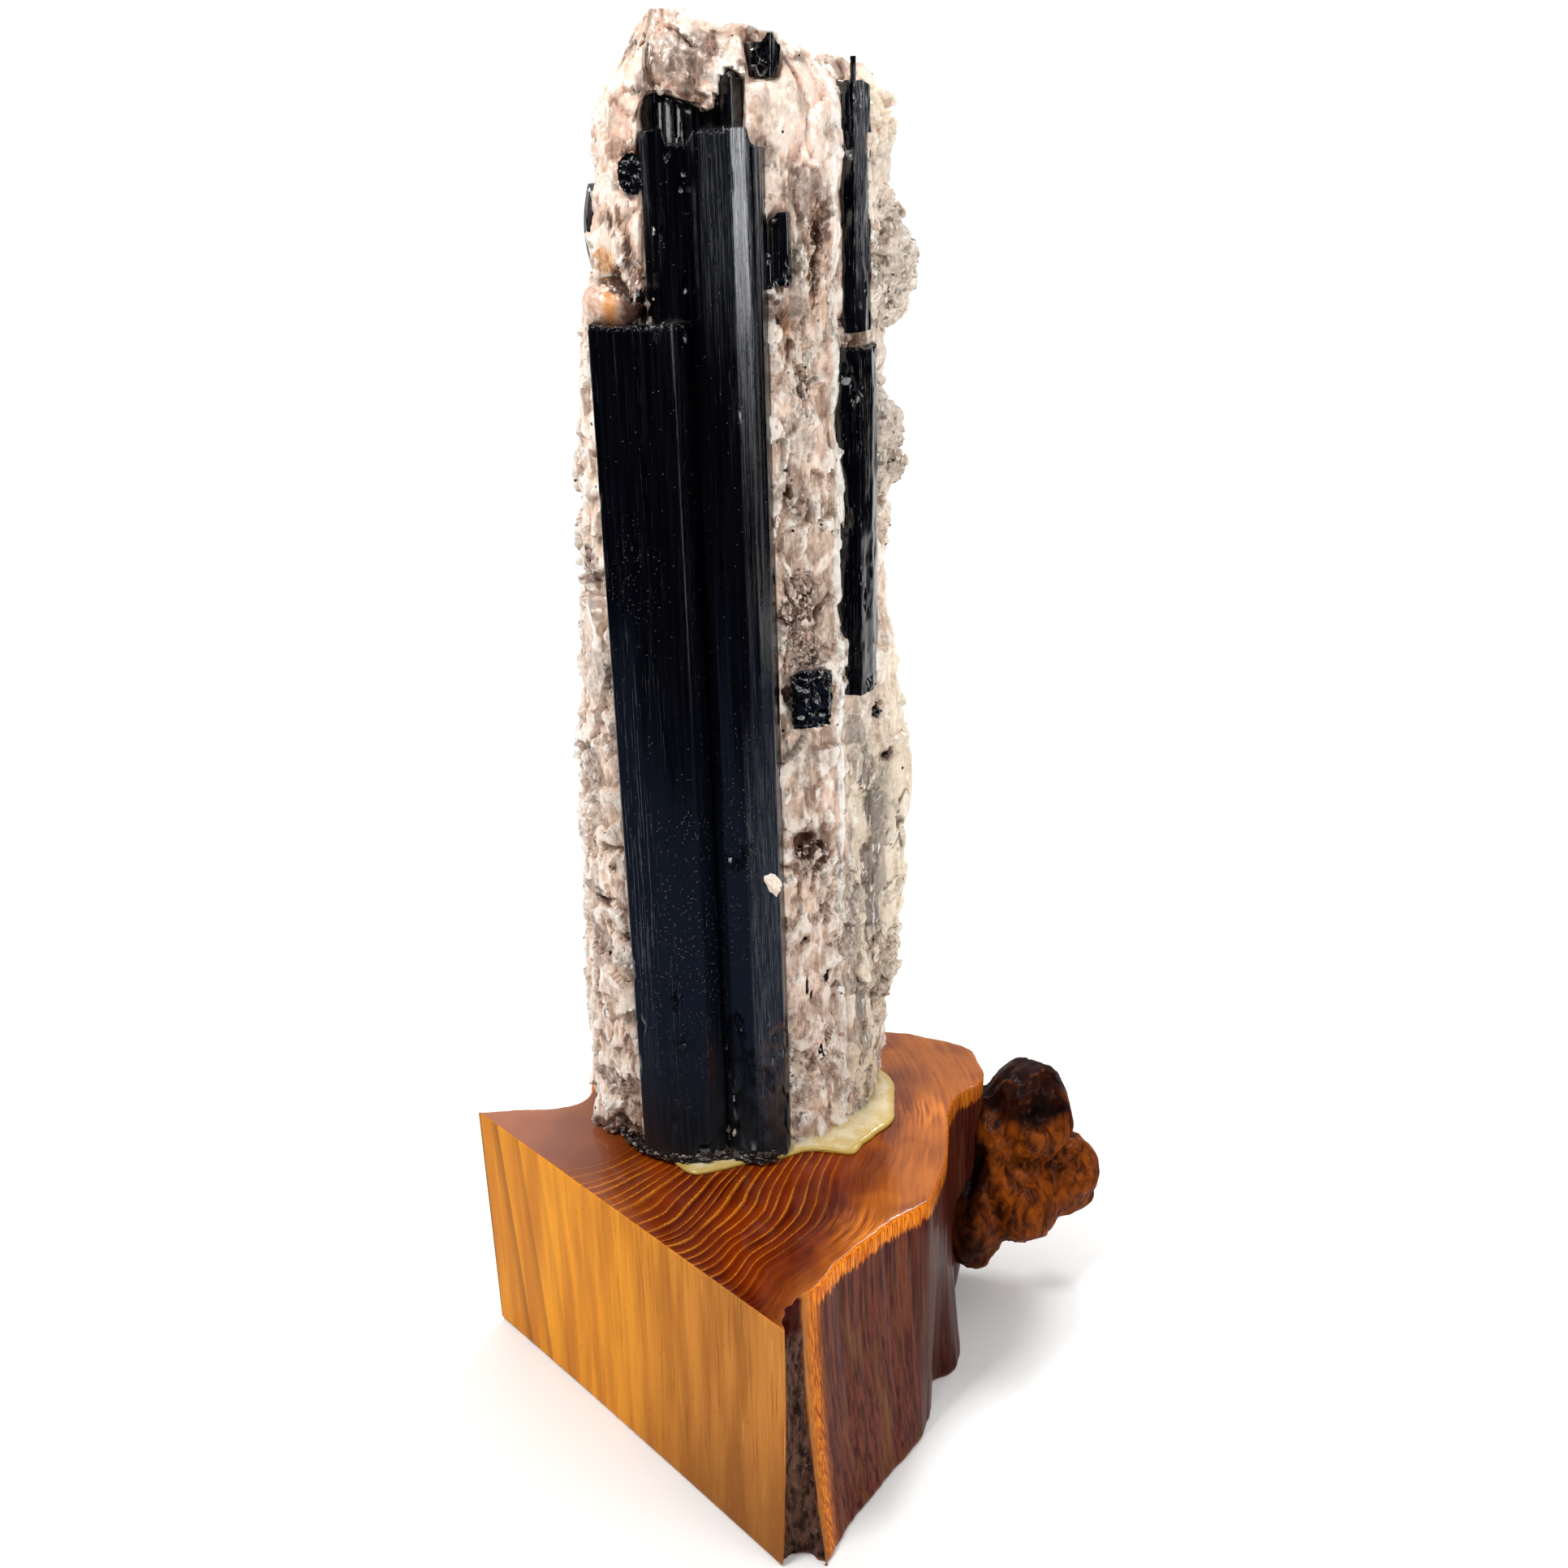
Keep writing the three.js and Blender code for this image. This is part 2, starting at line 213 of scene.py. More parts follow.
def resampled(outline, pitch):
    """A closed polygon's edge as points about a pitch apart, its corners kept."""
    outline = np.array(outline, float)
    result = []
    for here, there in zip(outline, np.roll(outline, -1, axis=0)):
        count = max(1, round(np.linalg.norm(there - here) / pitch))
        result += [here + (there - here) * n / count for n in range(count)]
    return np.array(result)


def stacked(*parts):
    """Coordinates or marks side by side in a last axis; numbers are spread over the rest."""
    return np.stack(np.broadcast_arrays(*parts), -1)


def around(count):
    """Angles once round a circle."""
    return np.linspace(0, 2 * math.pi, count, endpoint=False)


def join_loops(loops):
    """Faces of a closed skin through rows of points: levels, sides, 3."""
    levels, sides = loops.shape[:2]
    grid = np.arange(levels * sides).reshape(levels, sides)
    lower, upper = grid[:-1], grid[1:]
    quads = [lower, np.roll(lower, -1, axis=1), np.roll(upper, -1, axis=1), upper]
    return np.stack(quads, -1).reshape(-1, 4).tolist()


def skin(loops):
    """Vertices and faces of a closed tube through rows of points, ended by flat faces."""
    levels, sides = loops.shape[:2]
    ends = [list(range(sides))[::-1], [(levels - 1) * sides + side for side in range(sides)]]
    return loops.reshape(-1, 3), join_loops(loops) + ends


def shrinking(loop, rings, final=0.04):
    """Rings that close a loop towards its middle, the loop itself left out."""
    shares = 1 - (1 - final) * np.arange(1, rings + 1) / rings
    middle = loop.mean(axis=0)
    return middle + (loop - middle) * shares[:, None, None]


def joined(skins):
    """Several skins as one list of vertices and faces."""
    vertices, faces, total = [], [], 0
    for points, rows in skins:
        vertices.append(points)
        faces += [[corner + total for corner in row] for row in rows]
        total += len(points)
    return np.concatenate(vertices), faces


def taken(scratch):
    """The points and faces of a scratch mesh, which is then dropped."""
    points = np.array([v.co for v in scratch.verts])
    faces = [[v.index for v in f.verts] for f in scratch.faces]
    scratch.free()
    return points, faces


def ball(subdivisions):
    """A round ball of radius 1."""
    scratch = bmesh.new()
    bmesh.ops.create_icosphere(scratch, subdivisions=subdivisions, radius=1)
    return taken(scratch)


def marked(mesh, title, values):
    """Puts up to four per-vertex marks on a mesh."""
    rows = np.ones((len(values), 4))
    rows[:, : values.shape[1]] = values
    layer = mesh.attributes.new(title, "FLOAT_COLOR", "POINT")
    layer.data.foreach_set("color", rows.ravel())


def shown(name, data):
    """An object of the scene."""
    thing = bpy.data.objects.new(name, data)
    bpy.context.scene.collection.objects.link(thing)
    return thing


def added(name, points, faces, material, marks=None, crease=None, soft=True):
    """A mesh object in the row frame with its material and its per-vertex marks."""
    mesh = bpy.data.meshes.new(name)
    mesh.from_pydata(placed(points).tolist(), [], faces)
    mesh.validate()
    for title, values in (marks or {}).items():
        marked(mesh, title, values)
    mesh.polygons.foreach_set("use_smooth", [soft] * len(mesh.polygons))
    if crease is not None:
        mesh.set_sharp_from_angle(angle=math.radians(crease))
    mesh.materials.append(material)
    mesh.update()
    return shown(name, mesh)


def finished(piece, slot, *nodes):
    """Rides the piece on the specimen and hides the nodes it stands for; its slot is not used."""
    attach(piece, "root")
    if nodes:
        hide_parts(*nodes)


# ==== Shader nodes ==============================================================================


def srgb(red, green, blue):
    """A colour of 0 to 255 as the renderer's own values."""
    values = [value / 255 for value in (red, green, blue)]
    linear = [v / 12.92 if v <= 0.04045 else ((v + 0.055) / 1.055) ** 2.4 for v in values]
    return (*linear, 1)


class Field:
    """What varies over a surface, as a node's output. Arithmetic on it adds nodes."""

    def __init__(self, tree, socket):
        self.tree, self.socket = tree, socket

    def __add__(self, other):
        return self.tree.math("ADD", self, other)

    def __sub__(self, other):
        return self.tree.math("SUBTRACT", self, other)

    def __rsub__(self, other):
        return self.tree.math("SUBTRACT", other, self)

    def __mul__(self, other):
        return self.tree.math("MULTIPLY", self, other)

    def ramp(self, low, high, first=0, last=1):
        """Eased from first to last as the field goes from low to high."""
        values = dict(enumerate((self, low, high, first, last)))
        return self.tree.node("MapRange", values, interpolation_type="SMOOTHSTEP")

    def other(self, key):
        """Another output of the same node."""
        return Field(self.tree, self.socket.node.outputs[key])


class Nodes:
    """Short calls that fill a tree of nodes. Sizes of patterns are in millimetres."""

    def __init__(self, owner):
        owner.use_nodes = True
        self.tree = owner.node_tree
        self.tree.nodes.clear()

    def node(self, kind, inputs=None, output=0, **settings):
        """Adds a node and gives one of its outputs."""
        node = self.tree.nodes.new("ShaderNode" + kind)
        for key, value in settings.items():
            setattr(node, key, value)
        for key, value in (inputs or {}).items():
            self.put(node.inputs[key], value)
        return Field(self, node.outputs[output]) if node.outputs else None

    def put(self, socket, value):
        """Links a field to a socket, or sets the socket. Three numbers are a colour to 255."""
        if isinstance(value, Field):
            self.tree.links.new(value.socket, socket)
        elif socket.type == "RGBA" and len(value) == 3:
            socket.default_value = srgb(*value)
        else:
            socket.default_value = value

    def math(self, operation, *values):
        return self.node("Math", dict(enumerate(values)), operation=operation)

    def vector(self, operation, *values, output=0):
        return self.node("VectorMath", dict(enumerate(values)), output, operation=operation)

    def split(self, field, kind="Color"):
        """The three parts of a colour or a place."""
        first = self.node("Separate" + kind, {0: field})
        return [first.other(part) for part in range(3)]


class Shader(Nodes):
    """A material with the Principled shader, and the patterns that its colours are made of."""

    def __init__(self, name):
        self.material = bpy.data.materials.new(name)
        super().__init__(self.material)
        shade = self.node("BsdfPrincipled")
        self.node("OutputMaterial", {"Surface": shade})
        self.body = shade.socket.node
        place = self.node("TexCoord", output="Object")
        self.place = self.mapped(place, (1 / MM,) * 3, tuple(-ROW_SHIFT))

    def surface(self, **values):
        """Sets inputs of the Principled shader and gives the material."""
        for key, value in values.items():
            self.put(self.body.inputs[key.replace("_", " ")], value)
        return self.material

    def mapped(self, vector, scale=(1, 1, 1), shift=(0, 0, 0)):
        """A place scaled and then shifted."""
        return self.node("Mapping", {"Vector": vector, "Scale": scale, "Location": shift})

    def grid(self, size, shift, place=None):
        """The surface measured in a size: one number, or a width and a height."""
        width, height = size if isinstance(size, tuple) else (size, size)
        return self.mapped(place or self.place, (1 / width, 1 / width, 1 / height), (shift,) * 3)

    def mix(self, share, first, second, blend="MIX"):
        """The first colour going over into the second as the share goes from 0 to 1."""
        values = {0: share, 6: first, 7: second}
        return self.node("Mix", values, 2, data_type="RGBA", blend_type=blend)

    def coats(self, colour, *layers):
        """A colour with others laid over it. A layer is the other's share and the other."""
        for share, over in layers:
            colour = self.mix(share, colour, over)
        return colour

    def noise(self, size, detail=3, roughness=0.55, place=None, shift=0, warp=0):
        """Cloudy values from 0 to 1 with features of a size. A shift gives another pattern."""
        values = {"Vector": self.grid(size, shift, place), "Scale": 1, "Detail": detail}
        return self.node("TexNoise", {**values, "Roughness": roughness, "Distortion": warp})

    def grains(self, size, shift=0):
        """Rounded cells: the distance from each one's middle, and a random number for each."""
        distance = self.node("TexVoronoi", {"Vector": self.grid(size, shift), "Scale": 1})
        return distance, self.split(distance.other("Color"))[0]

    def facets(self, size, shift):
        """The height of randomly tilted grain faces of a size, in millimetres."""
        grid = self.grid(size, shift)
        grain = self.node("TexVoronoi", {"Vector": grid, "Scale": 1})
        inside = self.vector("SUBTRACT", grid, grain.other("Position"))
        tilt = self.vector("SUBTRACT", grain.other("Color"), (0.5, 0.5, 0.5))
        return self.vector("DOT_PRODUCT", inside, tilt, output="Value") * min(size)

    def marks(self, title):
        """The three per-vertex marks of an attribute."""
        return self.split(self.node("Attribute", attribute_name=title))

    def pointiness(self):
        """How much the surface stands out at a place: 0.5 where it is flat."""
        return self.node("NewGeometry", output="Pointiness")

    def bumps(self, *layers):
        """Bumps laid over one another. A layer is its height and its depth in millimetres."""
        values = {"Strength": 1}
        for height, depth in layers:
            values |= {"Height": height, "Distance": depth * MM}
            values["Normal"] = self.node("Bump", values)
        return values["Normal"]


# ==== Host rock =================================================================================

# The rock's left and right sides and its front left corner as (height, x), and its top as (x, z).
ROCK_LEFT = [
    (68, -38), (100, -38.4), (145, -36.8), (190, -33.4), (240, -30), (262, -28.4), (285, -25.4),
    (305, -23.4),
]
ROCK_RIGHT = [
    (68, 34.6), (90, 36), (102, 39), (130, 41.2), (160, 42.2), (186, 38.8), (200, 35.8),
    (262, 35.6), (310, 36.6),
]
ROCK_CORNER = [(68, -30.6), (145, -28), (240, -26), (262, -25.4), (285, -23), (305, -20.4)]
ROCK_CROWN = [
    (-22, 305), (-17, 310.4), (-14, 314), (-11, 316.6), (-7, 316.6), (-2, 315), (4, 313.4),
    (9, 313.6), (15, 312.2), (21, 310), (27, 308), (37, 307),
]
# How many columns of points stand between the outline's corners: fine where the stone is seen.
ROCK_COLUMNS = (20, 24, 17, 24, 14, 19, 21, 20, 17, 13, 8, 9, 12, 14, 13, 12)
ROCK_SPOTS = spots_of(ROCK_COLUMNS)
ROCK_ROWS = 375
# The outline's corner at which the front turns into the right face.
RIGHT_CORNER = 7

# Places on the rock, each as its centre and its radii.
QUARTZ = [
    (18, -22, 236, 5, 7, 6), (17, -22, 168, 4.5, 6, 8), (16.5, -23, 263, 5, 5, 4),
    (-4, -20, 307, 11, 9, 6), (20, -22, 284, 5, 6, 5), (32, -6, 150, 5, 7, 14),
    (28, -12, 118, 4, 6, 16), (34, -3, 112, 4, 7, 18), (30, -9, 168, 5, 6, 10),
    (33, -4, 232, 6, 12, 14), (-31, -19, 212, 6, 12, 5), (17, -24, 274, 3, 6, 7),
    (11.5, -25, 290, 3, 4, 3), (-29, -20, 186, 6, 8, 7),
]
MICA = [
    (17, -22, 199, 5, 6, 13), (-30, -18, 209.5, 9, 12, 2.6), (20, -20, 190, 4, 5, 3),
    (-33, -16, 132, 7, 9, 2.5), (-31, -18, 82, 8, 10, 4), (29, -12, 255, 5, 6, 1.8),
]
# Deep brown: partly the rock's own translucent brown, partly painted shade in the break and at the foot.
UMBER_AND_SHADE = [
    (-28, -20, 68, 11, 12, 4), (-10, -23, 298, 3.4, 6, 2.4), (7.8, -23, 306.3, 1.6, 4, 1.4),
    (22.6, -20, 277, 2, 5, 7), (21.2, -20, 268, 1.4, 5, 6), (23.6, -19, 281, 1.5, 4, 3),
    (-15.5, -24, 274, 1, 4, 4), (-18.5, -24, 280, 0.7, 4, 1.8), (-16.8, -24, 280.6, 0.6, 4, 2),
    (12.8, -24, 260.5, 0.6, 3, 1.3), (14.5, -24, 260, 1.1, 3, 3), (16.2, -24, 255.5, 1.5, 3, 2),
    (-30.5, -19, 220, 3, 8, 1.2), (-29, -19, 213, 3, 8, 1.4), (16.8, -22, 145, 3.4, 6, 4.4),
    (20, -20, 142, 3, 5, 3), (29.5, -11, 254.8, 4, 6, 1.2), (31.6, -10, 266, 1.6, 6, 6),
    (-12.6, -26, 265, 1.2, 6, 5), (36.4, -2, 159.8, 2.4, 6, 2.6), (-14.2, -25, 267, 1.6, 6, 6),
    (-9.5, -19, 305, 1.6, 9, 7), (-2, -20, 301.4, 9, 9, 1.8), (1.5, -19, 309, 2, 9, 4),
]
# Painted shade: smoky, thin brown-grey darkening over places in shade, as in the break above the crystals.
SHADE_PATCHES = [
    (-4, -20, 305, 10, 10, 7), (-5, -20, 303, 7, 10, 6), (11, -25, 290.5, 3, 4, 3),
    (16.5, -23, 262, 6, 5, 5), (-34, -17, 163, 7, 9, 9), (20, -21, 284, 6, 6, 5),
    (18, -22, 199, 6, 7, 13), (18, -21, 144, 6, 6, 8), (-34, -17, 118, 7, 9, 6),
    (17, -23, 226, 5, 5, 8),
]
STAINS = [
    (-20.4, -24, 272.2, 2.6, 6, 2.6), (21, -19, 268, 1, 4, 6), (-30, -20, 221, 2.5, 8, 2.6),
    (14.6, -24, 259, 1, 3, 3),
]
HOLLOWS = [
    (16.8, -22, 145, 2.6, 5, 3.6), (17.4, -21, 144, 1.6, 5, 2.4), (36.9, -2, 159.8, 1.8, 5, 2.3),
    (34.3, -4, 171.6, 1, 5, 2.4), (-31, -19, 205.5, 5, 6, 0.9), (-30, -19, 131, 4, 5, 1.2),
    (16, -23, 121.5, 1, 2, 0.8), (14, -24, 182, 1.5, 3, 2.5), (18, -21, 246, 1.4, 3, 2),
    (15, -23, 226, 1, 2, 1.5), (21.6, -19, 272, 1, 3, 7),
]
DARK_GRAINS = [
    (-33, -19, 178, 0.9, 2, 2), (16.3, -23, 121.5, 0.8, 2, 0.7), (34.3, -4, 171.6, 1, 6, 2.5),
    (16.4, -23, 109.5, 0.5, 2, 3.2), (17.6, -23, 106, 0.45, 2, 2.2), (19.6, -21.5, 89.5, 0.8, 2, 3),
    (-31, -20, 117, 0.7, 2, 1.6), (14, -24, 231, 0.8, 2, 0.8), (21, -19, 110, 0.7, 2, 2.5),
    (-34, -17, 158, 0.8, 2, 2.6), (-33, -18, 100, 0.8, 2, 1.2), (-3.8, -20, 309.4, 0.6, 4, 0.8),
    (12.8, -24, 260.5, 0.4, 2, 1.1), (37.1, -2, 159.8, 1, 6, 1.6), (-13.3, -26, 264, 1, 6, 4),
]
# Where the rock has crumbled into small pieces, and where it has broken along large smooth faces.
CRUMBLED = [
    (17, -22, 197, 6, 7, 12), (36, 2, 268, 10, 12, 17), (34, 2, 231, 9, 12, 15),
    (18, -21, 250, 4, 5, 12), (18, -20, 142, 4.5, 6, 6), (36, 2, 100, 6, 14, 22),
]
SMOOTH_FACES = [
    (15, -22, 300, 8, 9, 10), (14, -24, 286, 5, 6, 6), (18, -22, 236, 4, 6, 5),
    (-4, -18, 308, 12, 9, 8), (-31, -18, 240, 6, 9, 22), (-31, -18, 190, 6, 9, 14),
    (16.5, -22, 166, 6, 7, 11), (16.5, -23, 112, 6, 7, 22), (-21, -22, 288, 5, 6, 12),
    (38, 0, 190, 8, 14, 30), (40, 2, 140, 8, 14, 30),
]
# Crystals set in the rock's face keep its surface behind theirs, seen from the front.
SET_IN = [
    (14.2, -24, 273.8, 3.6, 8, 8.6), (18.2, -23, 181, 6.4, 9, 8), (-14.4, -24, 288, 3.6, 6, 5.4),
    (11.7, -22, 308, 4.2, 6, 4.6), (-11.6, -25, 284, 1.5, 6, 12), (-11.8, -25, 272, 1.5, 6, 8),
]
KNOBS = [(34.4, 6, 268.6, 7.6, 8, 14), (33, 5, 229.5, 6.6, 7, 12.5)]
NODULE_CENTRE = (-18.7, -21.8, 264.4)
NODULE_RADII = (6.8, 6.4, 5.2)
FLAKE_CENTRE = (8.7, -31.4, 140.8)
FLAKE_SIZE = (2, 1.1, 3.1)

# The break behind the crystals' tops: its floor, its ceiling as (x, z) and its back as (x, y).
BREAK_FLOOR = 289
BREAK_CEILING = [
    (-13, 297.5), (-11, 301.5), (-9.3, 301.8), (-6, 301.4), (-3.9, 300.5), (-0.8, 299.2),
    (0.4, 298.5), (2.8, 299.4), (3.4, 302.5), (4.4, 304.7), (5.6, 305.7), (6.8, 304.7), (7.6, 304),
]
BREAK_BACK = [(-12.5, -19), (-8, -13.5), (2, -13), (8.4, -15)]
# The face at the back of the notch that the top crystal stands in.
NOTCH_BACK = -20.6


def rock_corners(heights):
    """The outline's sixteen corners at each height."""
    left, right = eased(ROCK_LEFT, heights), eased(ROCK_RIGHT, heights)
    corner = eased(ROCK_CORNER, heights)
    rows = [
        (left, 2), (left + 2.5, -11), (corner, -21), (corner + 7, -24.5), (-4, -25.5),
        (10, -25.5), (18, -22), (25, -15.5), (30.5, -9), (right - 2, -2), (right, 6),
        (right - 2, 18), (24, 27), (6, 31), (-16, 29), (left + 5, 18),
    ]
    return np.stack([stacked(x + 0 * heights, y) for x, y in rows], -2)


def block_relief(points, size, stand, lean, gap, seed):
    """Stand-out of broken blocks of a size, with how much of a gap and what tone each has."""
    block, inside, edge = cells(points, size, seed)
    tilt = np.stack([hashed(block, seed + 5 + axis) - 0.5 for axis in range(3)], -1)
    depth = 2 * stand * (hashed(block, seed + 9) - 0.5) + 2 * lean * (tilt * inside).sum(-1)
    line = bell(edge, 0, 0.085) * hashed(block, seed + 10)
    return depth - gap * line, line, hashed(block, seed + 11) - 0.5


def blurred(field, reach):
    """A field on the rows and columns of the rock, averaged over its neighbours."""
    for axis in (0, 1):
        shifts = range(-reach, reach + 1)
        field = sum(np.roll(field, step, axis=axis) for step in shifts) / len(shifts)
    return field


def broken(points, spots):
    """How far the broken rock stands out, and its marks, at points on its smooth outline."""
    x, y, z = (points[..., axis] for axis in range(3))
    wander = swayed(points, 6, 11, 1.5)
    calm = patches(points, SMOOTH_FACES, 851)
    crumbly = 0.6 * smooth(noise(points, (12, 12, 17), 15), 0.1, 0.6)
    crumbly = np.maximum(crumbly, patches(points, CRUMBLED, 801)) * (1 - calm)

    # Blocks of three sizes.
    big, big_line, big_tone = block_relief(wander, (11, 11, 21), 0.9, 0.1, 0.5, 33)
    middle, middle_line, middle_tone = block_relief(wander, (4.8, 4.8, 6.6), 0.7, 0.4, 0.7, 41)
    small, small_line, small_tone = block_relief(wander, (1.9, 1.9, 2.7), 0.32, 0.4, 0.3, 51)
    depth = 0.8 * layered(points, (20, 20, 45), 21) + big
    depth += middle * (0.7 + 0.4 * crumbly - 0.3 * calm) + small * (0.3 + 0.7 * crumbly)
    crevice = np.maximum(0.6 * big_line, middle_line * (0.35 + 0.6 * crumbly)) * (1 - 0.6 * calm)
    crevice = np.maximum(crevice, small_line * crumbly * 0.7)
    tone = 0.4 + 0.3 * big_tone + 0.7 * middle_tone + 0.3 * small_tone * crumbly
    # A paler patch at the upper right, and painted light: the whole rock paler towards its top.
    tone += 0.35 * smooth(x, 6, 14) * smooth(z, 276, 292) + 0.2 * smooth(z, 262, 300)
    fibre = noise(points, (0.8, 0.8, 9), 55) * smooth(noise(points, (9, 9, 16), 56), 0, 0.4)
    depth += 0.28 * fibre

    # The low part of the right face stands in ribs and slabs.
    low = span(spots, RIGHT_CORNER + 0.15, RIGHT_CORNER + 0.6, 9.4, 10.4)
    low = low * (1 - smooth(z, 150, 190))
    upright = stacked(spots * 9, 0, z)
    rib, fine = noise(upright, (2.6, 1, 26), 61), noise(upright, (0.9, 1, 12), 62)
    slab, slab_line, slab_tone = block_relief(wander, (4, 4, 8.5), 0.45, 0.15, 0.6, 65)
    depth = depth * (1 - 0.5 * low) + low * (0.2 * rib + 0.1 * fine + slab)
    crevice = np.maximum(crevice, low * slab_line)

    # A bright splintered ridge runs up the corner between the front and the right face.
    ridge = bell(spots, RIGHT_CORNER + 0.03, 0.11)
    ridge = ridge * smooth(noise(stacked(0, 0, z), (1, 1, 14), 63), -1.1, -0.3)
    strips = noise(stacked(spots * 40, 0, z), (1.2, 1, 9), 64)
    depth = depth * (1 - 0.7 * ridge) + ridge * (0.4 + 0.3 * fine + 0.55 * strips)

    # Pale knobs, partly quartz and partly a painted backlit glow, hollows, and the rock kept behind
    # the crystals in it.
    knob = smooth(x, 31, 34) * span(z, 216, 222, 290, 300)
    crevice, tone = crevice * (1 - 0.45 * knob), tone + 0.45 * knob
    hollow = patches(points, HOLLOWS, 71)
    depth += 0.05 * noise(points, 0.9, 81) - 1.9 * hollow
    beside = span(spots, RIGHT_CORNER + 0.2, RIGHT_CORNER + 0.34, 7.9, 8.2)
    beside = beside * span(z, 176, 180, 303, 306)
    depth = depth + beside * (np.minimum(depth, 0.3 * strips - 0.5) - depth)
    for row in SET_IN:
        depth = depth + patch(points, row, 91, 0.08) * (np.minimum(depth, -1.1) - depth)

    quartz = np.maximum(patches(points, QUARTZ, 101, 0.8), 0.75 * knob)
    mica, dark = patches(points, MICA, 201), patches(points, DARK_GRAINS, 301)
    # Deep brown patches, partly the rock's own brown and partly painted shade, with the shade patches.
    umber_and_shade = np.maximum(patches(points, UMBER_AND_SHADE, 351, 0.7), 0.6 * patches(points, SHADE_PATCHES, 371, 0.8))
    # Painted shade: the rock darkened beside the prism's left edge, up to about middle height.
    prism_side_shade = smooth(x, -29, -25) * (x < -15) * (y < -8) * (1 - smooth(z, 190, 215))
    umber_and_shade = np.maximum(umber_and_shade, 0.4 * prism_side_shade)
    # How far each place stands out from its surroundings, for painted highlight and shade on the relief.
    raised = blurred(depth, 1) - blurred(depth, 6)
    # Painted light: a pale cream glow at the right edges, where light shines through from behind.
    rim = np.maximum(smooth(x, 33, 39) * smooth(z, 80, 110), smooth(x, 29.5, 33) * smooth(z, 244, 262))
    stain = patches(points, STAINS, 401, 0.7)
    return depth, {
        "minerals": stacked(quartz, mica, dark),
        "weather": stacked(np.maximum(crevice, hollow), stain, tone),
        "zones": stacked(low, ridge, rim * (1 - 0.6 * knob)),
        "texture": stacked(crumbly, umber_and_shade, 0),
        "relief": stacked(0.5 + 0.6 * raised, 0.5 + slab_tone),
    }


def pushed_out(points):
    """The outline with its rounded knobs standing out of it."""
    x, y, z = (points[..., axis] for axis in range(3))
    for middle_x, middle_y, middle_z, wide, deep, tall in KNOBS:
        rise = 1 - ((y - middle_y) / deep) ** 2 - ((z - middle_z) / tall) ** 2
        reach = middle_x + wide * np.sqrt(np.maximum(rise, 0))
        x[...] = np.where((rise > 0) & (x > 24), np.maximum(x, reach), x)
    return points


def set_back(points):
    """The low break behind the crystals' tops and the notch that the top crystal stands in."""
    x, y, z = (points[..., axis] for axis in range(3))
    sway = 1.5 * noise(points, 4, 506)
    ceiling = along(BREAK_CEILING, x) + 0.5 * noise(points, 2.2, 507)
    share = smooth(z, BREAK_FLOOR, BREAK_FLOOR + 1.6) * (1 - smooth(z, ceiling - 0.6, ceiling + 0.6))
    share = share * smooth(x + 0.5 * sway, -13, -11.5) * (1 - smooth(x + 0.3 * sway, 6.6, 7.8))
    back = along(BREAK_BACK, x)
    y[...] = np.where(y < back, y + share * (back - y), y)
    share = smooth(z, 303, 304.6) * span(x + sway, 7, 8.6, 14.8, 16.6)
    y[...] = np.where((y < NOTCH_BACK) & (z > 300), y + share * (NOTCH_BACK - y), y)
    return points


def rock_loops():
    """Rows of points round the rock from foot to crown, and their marks."""
    levels = np.linspace(0, 1, ROCK_ROWS)
    flat = spline(rock_corners(STONE_FOOT + levels * (STONE_TOP - STONE_FOOT)), ROCK_SPOTS)
    crown = eased(ROCK_CROWN, flat[..., 0])
    z = STONE_FOOT + levels[:, None] * (crown - STONE_FOOT)
    shoulder = 1 - 0.15 * smooth(levels, 0.955, 1)[:, None, None] ** 2
    points = np.concatenate([flat * shoulder, z[..., None]], -1)
    points = set_back(pushed_out(points))
    depth, marks = broken(points, np.broadcast_to(ROCK_SPOTS, points.shape[:2]))
    points[..., :2] += outward(flat) * depth[..., None]
    return points, marks


def capped(points, marks, rings, rough, seed):
    """The rows closed towards the middle by an uneven broken top."""
    top = shrinking(points[-1], rings)
    share = np.arange(1, rings + 1)[:, None] / rings
    block = cells(top, (4.5, 4.5, 50), seed)[0]
    rise = (hashed(block, seed + 1) - 0.5) * 2 * rough + 0.3 * rough * layered(top, 2.5, seed)
    top[..., 2] += smooth(share, 0, 0.25) * rise
    inner = 1 - smooth(share, 0, 0.3)[..., None]
    varied = 0.6 * (hashed(block, seed + 2) - 0.5)[..., None]
    closed = {}
    for title, values in marks.items():
        level = values[-1].mean(axis=0)
        last = level + inner * (values[-1] - level) + (1 - inner) * varied * (level > 0.3)
        closed[title] = np.concatenate([values, last]).reshape(-1, values.shape[-1])
    return np.concatenate([points, top]), closed


def nodule_ball():
    """The rounded nodule on the rock's front: rows of points from its foot to its top."""
    turns = around(72)
    rise = np.linspace(-0.49 * math.pi, 0.49 * math.pi, 48)[:, None]
    rows = stacked(np.cos(rise) * np.cos(turns), np.cos(rise) * np.sin(turns), np.sin(rise))
    uneven = 1 + 0.06 * layered(rows, 0.6, 611)
    return rows * uneven[..., None] * NODULE_RADII + NODULE_CENTRE


def host_rock():
    """The rock with its nodule as one mesh, and the rock's own rows of points and crumbling."""
    points, marks = capped(*rock_loops(), 22, 1.8, 601)
    points[..., 2] = np.minimum(points[..., 2], STONE_TOP - 0.5)
    crumbly = marks["texture"][:, 0].reshape(points.shape[:2])
    nodule = skin(nodule_ball())
    vertices, faces = joined([skin(points), nodule])
    plain = {"weather": (0, 0, 0.5), "texture": (0, 0, 1), "relief": (0.5, 0.5)}
    for title, values in marks.items():
        rows = np.tile(plain.get(title, (0, 0, 0)), (len(nodule[0]), 1))
        marks[title] = np.concatenate([values, rows])
    return added("host_rock", vertices, faces, rock_material(), marks, crease=38), points, crumbly


